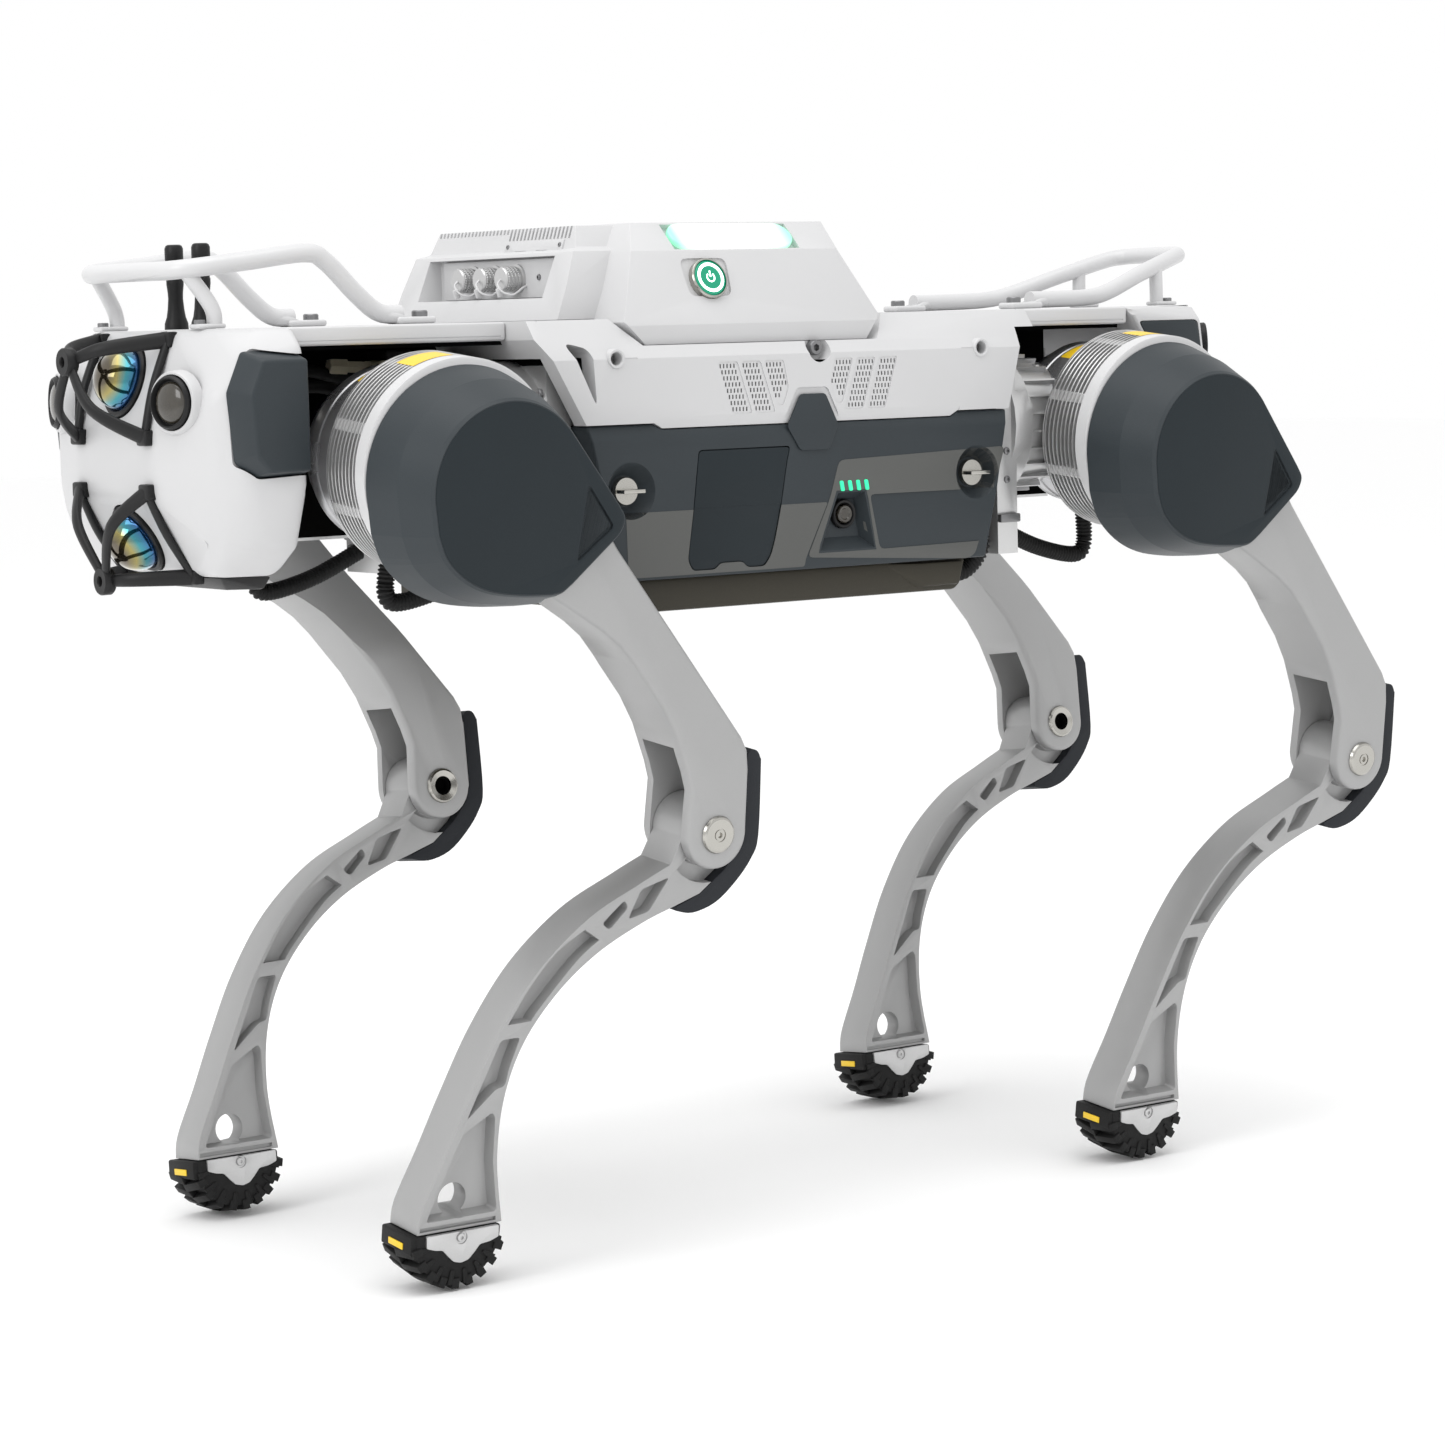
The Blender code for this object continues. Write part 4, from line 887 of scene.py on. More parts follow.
def make_motor(corner, end, side, matrix):
    """Ribbed drum: a smooth ring, a stack of thin fins with screw posts, a bell and its flange."""
    turn = Matrix.Rotation(-side * math.pi / 2, 4, "X")
    ring = turned([
        (0, 0.0975), (0.069, 0.0975), (0.0705, 0.0968), (0.0705, 0.0862), (0.0698, 0.0855),
        (0.066, 0.0853), (0, 0.0853)], turn, 96)
    leg_piece(corner, matrix, "motor_ring", softened(ring, 0, smooth=30), "hip", white_paint(),
              "hip_motor")
    profile = [(0, 0.0853), (0.0662, 0.0853)]
    fins, pitch = 8, 0.0042
    for i in range(fins):
        o = 0.0835 - i * pitch
        profile += [(0.064, o + 0.0004), (0.0703, o), (0.0705, o - 0.0007), (0.0703, o - 0.0014),
                    (0.064, o - 0.0018)]
    profile += [(0.064, 0.0518), (0.07, 0.0514), (0.07, 0.0503), (0.064, 0.0472), (0.058, 0.045),
                (0, 0.045)]
    stack = turned(profile, turn, 120)
    posts = []
    for k in range(8):
        angle = math.radians(22.5 + 45 * k)
        spoke = Matrix.Rotation(angle, 4, "Y")
        post = softened(side_box(side, (0.0625, 0.0503, -0.004), (0.0697, 0.0865, 0.004)), 0.0012, 2)
        post.transform(spoke)
        posts.append(post)
        posts.append(pan_screw(0.002, 0.001, spoke @ Vector((0.0662, side * 0.0504, 0)), (0, -side, 0)))
    leg_piece(corner, matrix, "motor_fins", softened(merged(stack, *posts), 0, smooth=30), "hip",
              machined_aluminium())
    bell = turned([
        (0, 0.0451), (0.0575, 0.0451), (0.0579, 0.044), (0.0579, 0.04), (0.0572, 0.0392), (0.0572, 0.018),
        (0.0579, 0.0172), (0.0579, 0.008), (0.056, 0.004), (0.05, -0.009), (0.0445, -0.018),
        (0, -0.018)], turn, 96)
    leg_piece(corner, matrix, "motor_bell", softened(bell, 0, smooth=30), "hip", bell_metal())
    # The roll actuator's flange on the bulkhead side, with its ribs and screws
    inner = HIP_X - BULKHEAD_X - 0.0003
    axis = Matrix.Rotation(-end * math.pi / 2, 4, "Y")
    flange = turned([
        (0, inner), (0.0495, inner), (0.05, inner - 0.0006), (0.05, inner - 0.006),
        (0.047, inner - 0.007), (0.0455, 0.05), (0.04, 0.02), (0, 0.02)], axis, 96)
    ribs = []
    for k in range(24):
        angle = 2 * math.pi * k / 24
        rib = box((-0.0008, 0.044, 0.048), (0.0008, 0.0492, inner - 0.0068))
        rib.transform(axis @ Matrix.Rotation(angle, 4, "Z"))
        ribs.append(rib)
    for k in range(8):
        angle = 2 * math.pi * (k + 0.5) / 8
        place = axis @ Vector((0.044 * math.cos(angle), 0.044 * math.sin(angle), 0.053))
        ribs.append(hex_screw(0.0034, 0.004, place, axis.to_3x3() @ Vector((0, 0, -1))))
    leg_piece(corner, matrix, "roll_flange", softened(merged(flange, *ribs), 0, smooth=30), "hip",
              machined_aluminium())
    first = 66 if end > 0 else 80
    labels = [curved_patch(0.0703, 0.064, 0.084, first, first + 24, side, 0.0002),
              curved_patch(0.0572, 0.02, 0.038, 58, 84, side, 0.0003)]
    leg_piece(corner, matrix, "motor_labels", softened(merged(*labels), 0), "hip", yellow_label())


def corrugated(route, radius, depth, pitch, sides=14):
    """A hose swept along a route whose radius rises and falls once every pitch."""
    line = [Vector(p) for p in route]
    length = sum((b - a).length for a, b in zip(line, line[1:]))
    rings = max(8, int(length / pitch) * 4)
    spaced, walked, index = [], 0.0, 0
    for k in range(rings + 1):
        want = length * k / rings
        while index < len(line) - 2 and walked + (line[index + 1] - line[index]).length < want:
            walked += (line[index + 1] - line[index]).length
            index += 1
        step = (line[index + 1] - line[index]).length
        spaced.append(line[index].lerp(line[index + 1], min(1.0, (want - walked) / step)))
    heights = (0.0, 1.0, 1.0, 0.0)
    return swept(
        spaced, lambda share: radius - depth * (1 - heights[int(round(share * rings)) % 4]), sides)


def make_hose(corner, end, side, matrix):
    """Corrugated conduit from the torso's end, out and up into the underside of the motor."""
    y = side * 0.016
    route = through([
        (-end * (HIP_X - 0.212), y, -0.072), (-end * (HIP_X - 0.25), y, -0.088),
        (-end * (HIP_X - 0.286), y, -0.096), (end * 0.004, y, -0.089),
        (end * 0.002, y, -0.0655)], 10)
    hose = softened(corrugated(route, 0.006, 0.0011, 0.0026), 0, smooth=60)
    made = bpy.data.objects.new(corner + "_conduit", hose)
    bpy.context.scene.collection.objects.link(made)
    hose.materials.append(black_rubber())
    made.matrix_world = matrix
    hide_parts(corner + "_hip_hose")
    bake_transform(made)
    return made


def make_leg(corner, end, side):
    matrix = leg_frame(corner, side)
    make_motor(corner, end, side, matrix)
    make_hose(corner, end, side, matrix)
    make_cover(corner, side, matrix)
    make_thigh(corner, side, matrix)
    make_pin(corner, side, matrix)
    make_shin(corner, side, matrix)
    make_guard_strip(corner, side, matrix)
    make_foot(corner, side, matrix)


# ---------------------------------------------------------------- torso
def cad_copy(node):
    """A CAD node's shape, welded, in the torso's drawing frame, to be rounded and cut further."""
    source = frame["nodes"][node].data
    made = bpy.data.meshes.new(node)
    made.from_pydata([vert.co[:] for vert in source.vertices], [],
                     [poly.vertices[:] for poly in source.polygons])
    made.transform(BODY.inverted())
    bm = bmesh.new()
    bm.from_mesh(made)
    bmesh.ops.remove_doubles(bm, verts=bm.verts, dist=0.00002)
    bmesh.ops.dissolve_limit(bm, angle_limit=0.004, verts=bm.verts, edges=bm.edges)
    bmesh.ops.recalc_face_normals(bm, faces=bm.faces)
    bm.to_mesh(made)
    bm.free()
    return made


def torso_piece(name, mesh_data, surface, replaced=(), body="torso"):
    return place_piece(name, mesh_data, BODY, body, surface, replaced)


def torso_group(name, parts, surface, replaced=(), body="torso", smooth=38):
    """Separate parts as one piece of the torso, shaded but not rounded."""
    made = softened(merged(*parts), 0, smooth=smooth)
    return torso_piece(name, made, surface, replaced, body)


def shell_bar(outline, side, low, high, holes=()):
    """A side-view outline as a bar between two distances from the middle plane."""
    return plate(outline, high - low, side_frame(side * (low + high) / 2), holes)


def vent_layout():
    """Slot centres and panel outlines of the six slanted vents on one side."""
    middle, top, pitch, lean = -0.001, 0.5862, 0.0041, 0.011
    slots, panels = [], []
    for start, full in ((0.0732, 8), (0.0543, 8), (0.035, 4)):
        rows = [5] * 8 if full == 8 else [5, 5, 5, 5, 3, 2]
        for mirror in (1, -1):
            for row, count in enumerate(rows):
                for k in range(count):
                    x = start - 0.0011 - 0.0028 * k - lean * row / 8
                    slots.append((middle + mirror * (x - middle), top - pitch * row))
            high, low = 0.5892, 0.5545 if full == 8 else 0.5605
            shift = lean * (0.5892 - low) / 0.0328
            edge = [(start + 0.0012, high), (start - 0.0147, high), (start - 0.0147 - shift, low),
                    (start + 0.0012 - shift, low)]
            if full != 8:
                edge = [(start + 0.0012, high), (start - 0.0147, high), (start - 0.0185, 0.5712),
                        (start + 0.0012 - shift - 0.0055, 0.559), (start + 0.0012 - shift, 0.559)]
            panels.append(rounded([(middle + mirror * (x - middle), z) for x, z in edge], 0.0022, 3))
    return slots, panels


TAB = [(0.0078, 0.566), (-0.0135, 0.566), (-0.0238, 0.5448), (-0.016, 0.5282), (0.0085, 0.5282),
       (0.0192, 0.5448)]


def make_torso_shell():
    shell = softened(cad_copy("torso_shell"), 0.0018, 3, 20)
    tools = []
    slots, panels = vent_layout()
    for side in (LEFT, RIGHT):
        for outline in panels:
            tools.append(shell_bar(outline, side, BODY_Y - 0.0006, BODY_Y + 0.001))
        tools.append(shell_bar(rounded(scaled(TAB, 1.2, (-0.0022, 0.544)), 0.003), side, BODY_Y - 0.0014,
                               BODY_Y + 0.001))
        opening = rounded([(0.1915, 0.6045), (0.1735, 0.6), (0.1712, 0.562)], 0.006, 5)
        tools.append(shell_bar(opening, side, 0.122, BODY_Y + 0.001))
        tools.append(rod(0.0098, (-0.0105, side * 0.1385, 0.5965), (-0.0105, side * 0.152, 0.5965), 40))
        wedge = ((0.1515, 0.544), (0.1515, 0.5545), (0.1502, 0.5545), (0.1468, 0.544))
        tools.append(loft([[(x, side * y, z) for y, z in wedge] for x in (-0.13, 0.127)]))
        for x in (0.1556, -0.15):
            tools.append(rod(0.0062, (x, side * 0.14, 0.5932), (x, side * 0.152, 0.5932), 32))
            tools.append(side_box(side, (x - 0.017 if x > 0 else x + 0.005, 0.1494, 0.5928),
                                  (x - 0.005 if x > 0 else x + 0.017, 0.151, 0.5936)))
    for x in (-0.198, 0.204):
        tools.append(box((x - 0.0003, -0.16, DECK_TOP - 0.0006), (x + 0.0003, 0.16, DECK_TOP + 0.001)))
    shell = cut(shell, *tools)
    holes = []
    for side in (LEFT, RIGHT):
        for x, z in slots:
            holes.append(side_box(side, (x - 0.0006, 0.1478, z - 0.0014),
                                  (x + 0.0006, 0.151, z + 0.0014)))
    shell = softened(cut(shell, merged(*holes)), 0, smooth=28)
    torso_piece("torso_cover", shell, white_shell(), ["torso_shell"])
    vent_shade_sheets, rings, heads, dark = [], [], [], []
    for side in (LEFT, RIGHT):
        # Black sheets just behind the slots: painted shade for the dark inside the shell seen through
        # them.
        vent_shade_sheets.append(side_box(side, (-0.078, 0.1466, 0.5535), (0.074, 0.1483, 0.5885)))
        for x in (0.1556, -0.15):
            turn = aimed((x, side * 0.143, 0.5932), (0, side, 0))
            rings.append(turned([
                (0.0043, 0.0), (0.0066, 0.0), (0.0066, 0.0074), (0.0061, 0.0082), (0.005, 0.0082),
                (0.0043, 0.0074), (0.0043, 0.0)], turn, 40))
            heads.append(pan_screw(0.003, 0.0015, (x, side * 0.143, 0.5932), (0, side, 0)))
        heads.append(hex_screw(0.0052, 0.005, (-0.012, side * 0.139, 0.5965), (0, side, 0)))
        dark.append(shell_bar(rounded(TAB, 0.0025, 3), side, BODY_Y - 0.0001, BODY_Y + 0.0012))
    torso_piece("vent_painted_shade", merged(*vent_shade_sheets), painted_shade_black())
    torso_group("shell_bosses", rings, white_shell())
    torso_group("shell_screws", heads, dark_metal())
    for word, tab, body in (("left", dark[0], "battery"), ("right", dark[1], "torso")):
        torso_piece(f"{word}_latch_tab", softened(tab, 0.0005, 2), slate_moulding(),
                    body=body)


def make_decks():
    for name, start, stop in (("front_deck", 0.2123, 0.3744), ("rear_deck", -0.2063, -0.3227)):
        low, high = sorted((start, stop))
        deck = softened(box((low, -DECK_Y, DECK_LOW), (high, DECK_Y, DECK_TOP)), 0.0022, 3)
        middle = (low + high) / 2
        outer, inner = [
            plate(rounded([
                (low + inset, -half), (high - inset, -half), (high - inset, half), (low + inset, half)],
                corner), 0.0012, Matrix.Translation((0, 0, DECK_TOP)))
            for inset, half, corner in ((0.01, 0.056, 0.006), (0.0112, 0.0548, 0.005))]
        ring = cut(outer, inner)
        cups = []
        screws = []
        for x in (low + 0.018, middle, high - 0.018):
            for y in (-0.093, 0.093):
                cups.append(rod(0.0046, (x, y, DECK_TOP - 0.0016), (x, y, DECK_TOP + 0.002), 28))
                screws.append(hex_screw(0.003, 0.0012, (x, y, DECK_TOP - 0.0016), (0, 0, 1)))
        side_marks = []
        for side in (LEFT, RIGHT):
            side_marks.append(side_box(side, (low + 0.004, 0.1074, DECK_LOW + 0.0028),
                                       (high - 0.004, 0.109, DECK_LOW + 0.0034)))
        deck = softened(cut(deck, ring, merged(*cups), merged(*side_marks)), 0, smooth=28)
        torso_piece(name + "_panel", deck, white_paint(), [name])
        torso_group(name + "_screws", screws, machined_aluminium())


def make_bay_fittings():
    """Connectors and cable ends seen in the gaps between deck and motors, with black blocks and sheets in
    those gaps as painted shade.
    """
    bay_shade_sheets, steel, tan, black, white = [], [], [], [], []
    # Black blocks and sheets under the decks and across the bays: painted shade for the dark between deck
    # and motors.
    for low, high in ((0.2, 0.3735), (-0.32, -0.2)):
        bay_shade_sheets.append(box((low, -0.0175, 0.482), (high, 0.0175, 0.606)))
        bay_shade_sheets.append(box((low, -0.1, 0.604), (high, 0.1, 0.6064)))
    bay_shade_sheets.append(box((0.1935, -0.128, 0.47), (0.1945, 0.128, 0.6)))
    for side in (LEFT, RIGHT):
        for y, z in ((0.03, 0.5905), (0.042, 0.58)):
            steel.append(turned([
                (0, 0), (0.0058, 0), (0.0058, 0.004), (0.0066, 0.0044), (0.0066, 0.013), (0.0056, 0.0136),
                (0.0056, 0.02), (0, 0.02)], aimed((0.356, side * y, z), (-1, 0, 0)), 40))
            black.append(swept(through([
                (0.336, side * y, z), (0.314, side * y, z), (0.284, side * (y - 0.004), z - 0.006),
                (0.25, side * 0.033, z - 0.004), (0.196, side * 0.04, 0.57)], 6), 0.0042, 14))
        tan.append(turned([
            (0, 0), (0.005, 0), (0.0056, 0.002), (0.0056, 0.012), (0.0042, 0.0128), (0.0042, 0.03),
            (0, 0.03)], aimed((0.3, side * 0.03, 0.593), (-1, side * 0.12, -0.05)), 6))
        tan.append(softened(side_box(side, (0.244, 0.026, 0.582), (0.272, 0.048, 0.596)), 0.002, 3))
        black.append(softened(side_box(side, (0.248, 0.024, 0.596), (0.268, 0.05, 0.603)), 0.002, 3))
        white.append(swept(through([
            (0.243, side * 0.038, 0.589), (0.228, side * 0.048, 0.593), (0.212, side * 0.07, 0.59),
            (0.195, side * 0.082, 0.578)], 8), 0.0052, 16))
        steel.append(turned([
            (0, 0), (0.0066, 0), (0.0066, 0.012), (0.0052, 0.0126), (0.0052, 0.02), (0, 0.02)],
            aimed((-0.232, side * 0.033, 0.59), (-1, 0, 0)), 40))
        black.append(swept(through([
            (-0.25, side * 0.033, 0.59), (-0.275, side * 0.034, 0.586), (-0.3, side * 0.03, 0.57),
            (-0.318, side * 0.025, 0.55)], 6), 0.0042, 14))
    torso_piece("bay_painted_shade", merged(*bay_shade_sheets), painted_shade_black())
    torso_group("bay_connectors", steel, bright_steel())
    torso_group("bay_nylon_fittings", tan, tan_nylon())
    torso_group("bay_black_leads", black, black_rubber())
    torso_group("bay_wrapped_leads", white, white_shell())


def make_chassis():
    chassis = softened(cad_copy("chassis"), 0.001, 2, 30)
    torso_piece("chassis_frame", chassis, machined_aluminium(), ["chassis"])
    details = []
    for end in (FORE, AFT):
        face = end * BULKHEAD_X
        for side in (LEFT, RIGHT):
            for k in range(12):
                angle = 2 * math.pi * (k + 0.5) / 12
                place = (face - end * 0.0002, side * 0.0793 + 0.052 * math.cos(angle),
                         ROLL_Z + 0.052 * math.sin(angle))
                details.append(hex_screw(0.003, 0.0004, place, (end, 0, 0)))
            for z in (0.464, 0.482, 0.572):
                details.append(hex_screw(0.0034, 0.0022, (end * 0.197, side * 0.123, z), (end, 0, 0)))
            rib = side_box(side, (end * 0.188 - 0.009, 0.1296, 0.47), (end * 0.188 + 0.009, 0.134, 0.476))
            details.append(softened(rib, 0.001, 2))
            for z in (0.5, 0.52):
                details.append(pan_screw(0.0028, 0.0016, (end * 0.188, side * 0.13, z), (0, side, 0)))
    torso_group("chassis_fixings", details, dark_metal())


def make_tray():
    tray = softened(cad_copy("belly_tray"), 0.0022, 2, 25)
    torso_piece("tray_shell", tray, olive_moulding(), ["belly_tray"])
    humps, hoses = [], []
    for side in (LEFT, RIGHT):
        humps.append(softened(hull([
            (x, side * y, z) for x, y, z in (
                (-0.1, 0.12, 0.427), (-0.078, 0.12, 0.427), (-0.134, 0.12, 0.427),
                (-0.106, 0.139, 0.43), (-0.136, 0.139, 0.43), (-0.102, 0.139, 0.446),
                (-0.14, 0.139, 0.446), (-0.072, 0.1345, 0.447), (-0.141, 0.12, 0.447))]), 0.0015, 2, 15))
        hoses.append(corrugated(through([
            (-0.138, side * 0.118, 0.438), (-0.154, side * 0.118, 0.437), (-0.164, side * 0.119, 0.443),
            (-0.1705, side * 0.12, 0.453), (-0.172, side * 0.118, 0.465),
            (-0.178, side * 0.113, 0.476)], 6), 0.0068, 0.0012, 0.0028, 16))
    torso_piece("tray_humps", merged(*humps), olive_moulding())
    torso_group("tray_hoses", hoses, black_rubber(), smooth=60)


# ---------------------------------------------------------------- computer module
def bar_light():
    """White in the middle, green towards both ends, all from inside."""
    made = finish("bar_light", (0.9, 1.0, 0.96), 0.3, tint=0.01, bump=0.02, glow=(0.8, 1.0, 0.93),
                  glow_strength=1.0)
    tree = made.node_tree
    surface = tree.nodes["Principled BSDF"]
    place = add_node(tree, "ShaderNodeTexCoord")
    parts = add_node(tree, "ShaderNodeSeparateXYZ")
    tree.links.new(place.outputs["Object"], parts.inputs["Vector"])
    ramp = add_node(tree, "ShaderNodeValToRGB")
    span = add_node(tree, "ShaderNodeMapRange")
    span.inputs["From Min"].default_value = -0.016
    span.inputs["From Max"].default_value = 0.085
    tree.links.new(parts.outputs["X"], span.inputs["Value"])
    tree.links.new(span.outputs["Result"], ramp.inputs["Fac"])
    ramp.color_ramp.elements[0].position = 0.03
    ramp.color_ramp.elements[1].position = 0.97
    for element in ramp.color_ramp.elements:
        element.color = (0.22, 0.62, 0.4, 1)
    for position in (0.3, 0.8):
        ramp.color_ramp.elements.new(position).color = (1.0, 1.0, 0.98, 1)
    tree.links.new(ramp.outputs["Color"], surface.inputs["Emission Color"])
    tree.links.new(ramp.outputs["Color"], surface.inputs["Base Color"])
    return made


def make_module():
    module = softened(cad_copy("computer_module"), 0.0022, 3, 22)
    seat = aimed(POWER_SEAT, POWER_OUT)
    recess = rounded([(-0.0175, -0.012), (0.0165, -0.012), (0.0185, 0.015), (-0.0195, 0.015)], 0.006)
    module = cut(module, softened(plate(recess, 0.02, seat @ Matrix.Translation((0, 0, 0.008))), 0))
    fins = []
    for k in range(37):
        y = -0.082 + 0.0045 * k
        deep = 0.01 if y > 0.006 else 0.0055
        fins.append(box((0.134, y - 0.0011, 0.683 - deep), (0.15, y + 0.0011, 0.684)))
    module = softened(cut(module, merged(*fins)), 0, smooth=24)
    torso_piece("computer_housing", module, white_shell(), ["computer_module"])
    slope = Vector((0.949, 0, 0.316))

    def on_slope(y, z, proud):
        return Vector((0.145 - (z - 0.666) / 3, y, z)) + proud * slope

    cover = hull([on_slope(y, z, p) for y in (0.006, 0.076) for z in (0.665, 0.6722)
                  for p in (-0.0005, 0.0011)])
    cover = softened(cover, 0.0004, 2)
    notches = [
        hull([on_slope(y + d, z, p) for d in (-0.007, 0.007) for z in (0.664, 0.6656)
              for p in (0.0004, 0.003)])
        for y in (0.026, 0.052)]
    torso_piece("fan_cover", softened(cut(cover, *notches), 0), white_shell())
    screws = [pan_screw(0.0017, 0.001, on_slope(y, 0.6686, 0.0011), slope) for y in (0.0095, 0.0725)]
    screws.append(pan_screw(0.0022, 0.0014, (0.1474, 0.05, 0.648), (1, 0, 0)))
    torso_group("module_screws", screws, dark_metal())


def make_ports():
    """White panel with three knurled caps on short tethers, in the recess on the forward face."""
    x = 0.1443
    panel = softened(box((x, -0.07, 0.6345), (x + 0.003, 0.07, 0.6605)), 0.0008, 2)
    torso_piece("port_plate", panel, white_shell(), ["port_panel"])
    caps, cords, tags = [], [], []
    for y in (-0.03, -0.003, 0.024):
        turn = aimed((x + 0.003, y, 0.6475), (1, 0, 0))
        profile = [(0, 0), (0.0098, 0), (0.0098, 0.0016), (0.0078, 0.0022)]
        for k in range(4):
            height = 0.0034 + 0.0026 * k
            profile += [(0.0076, height - 0.0006), (0.0085, height), (0.0085, height + 0.0009),
                        (0.0076, height + 0.0014)]
        profile += [(0.008, 0.0132), (0.0074, 0.0142), (0, 0.0142)]
        cap = turned(profile, turn, 60)
        grooves = []
        for k in range(30):
            angle = 2 * math.pi * k / 30
            groove = box((-0.0003, 0.0078, 0.0026), (0.0003, 0.009, 0.0128))
            groove.transform(turn @ Matrix.Rotation(angle, 4, "Z"))
            grooves.append(groove)
        caps.append(cut(cap, merged(*grooves)))
        loop = through([
            (x + 0.0165, y, 0.6475), (x + 0.02, y + 0.001, 0.644), (x + 0.019, y + 0.005, 0.639),
            (x + 0.013, y + 0.009, 0.637), (x + 0.007, y + 0.0105, 0.641),
            (x + 0.0026, y + 0.0105, 0.643)], 8)
        cords.append(swept(loop, 0.0007, 8))
        tag = softened(box((-0.0022, -0.001, -0.004), (0.0022, 0.001, 0.0022)), 0.0006, 2)
        tag.transform(Matrix.Translation((x + 0.02, y + 0.0026, 0.6395)) @ Matrix.Rotation(0.3, 4, "Y"))
        tags.append(tag)
    torso_group("port_caps", caps, machined_aluminium(), smooth=30)
    torso_piece("cap_tethers", softened(merged(*cords, *tags), 0), white_paint())


def make_lights():
    half = 0.0112
    outline = [(0.039 + x, y) for x, y in arc((0, 0), half, -90, 90, 24)]
    outline += [(-0.039 + x, y) for x, y in arc((0, 0), half, 90, 270, 24)]
    seat = aimed((0.0345, 0.112, 0.67225), (0, 0.69, 0.72))
    lamp = softened(plate(outline, 0.0046, seat @ Matrix.Translation((0, 0, -0.0004))), 0.0012, 3)
    torso_piece("side_lamp", lamp, bar_light(), ["light_bar"])
    turn = aimed(POWER_SEAT, POWER_OUT)
    bezel = turned([
        (0.0123, -0.003), (0.0139, -0.003), (0.0139, 0.0022), (0.0134, 0.003), (0.0126, 0.003),
        (0.0123, 0.0024), (0.0123, -0.003)], turn, 72)
    torso_piece("power_bezel", softened(bezel, 0, smooth=30), bright_steel())
    disc = turned([
        (0, -0.003), (0.0119, -0.003), (0.0119, 0.0026), (0.0113, 0.0033), (0, 0.0033)], turn, 72)
    torso_piece("power_disc", softened(disc, 0, smooth=30), deep_green(), ["power_button"],
                "power_button")
    ring = turned([
        (0.0082, 0.003), (0.0103, 0.003), (0.0103, 0.0035), (0.0082, 0.0035), (0.0082, 0.003)], turn, 72)
    symbol = arc((0, 0), 0.0034, 130, 410, 29) + arc((0, 0), 0.0025, 410, 130, 29)
    stroke = [(-0.0005, 0.0004), (0.0005, 0.0004), (0.0005, 0.0046), (-0.0005, 0.0046)]
    mark, stroke = [plate(outline, 0.0006, turn @ Matrix.Translation((0, 0, 0.0033)))
                    for outline in (symbol, stroke)]
    torso_piece("power_marks", softened(merged(ring, mark, stroke), 0), pale_lamp(),
                body="power_button")


# ---------------------------------------------------------------- battery
BATTERY_FACE = BODY_Y - 0.0003
FOLD_Z = 0.4935
TILT = 0.0036 / 0.0455


def door_outline():
    return [(0.017, 0.531), (0.091, 0.531), (0.096, 0.496), (0.1, 0.46), (0.096, 0.453), (0.078, 0.453),
            (0.074, 0.457), (0.056, 0.457), (0.052, 0.453), (0.038, 0.453), (0.033, 0.46), (0.03, 0.47),
            (0.02, 0.52)]


def fold_wedge(side, inset=0.0):
    """Cutter that folds the side face inwards below the fold line."""
    low = 0.438
    face = BATTERY_FACE - inset
    drop = (FOLD_Z - low) * TILT
    return loft([[(x, side * y, z) for y, z in (
        (face + 0.004, FOLD_Z), (face, FOLD_Z), (face - drop, low),
        (face + 0.004, low))] for x in (-0.2, 0.2)])


def button_recess(rim):
    """Four-sided funnel down to the button, widened by a rim."""
    floor = ((-0.044 - rim, 0.493), (-0.025 + rim, 0.493), (-0.018 + rim, 0.468), (-0.048 - rim, 0.468))
    mouth = ((-0.046 - rim, 0.499), (-0.023 + rim, 0.499), (-0.005 + rim, 0.456), (-0.059 - rim, 0.456))
    return loft([
        [(x, BATTERY_FACE - 0.011, z + (rim if z > 0.48 else -rim)) for x, z in floor],
        [(x, BATTERY_FACE + 0.001, z + (rim if z > 0.48 else -rim)) for x, z in mouth]])


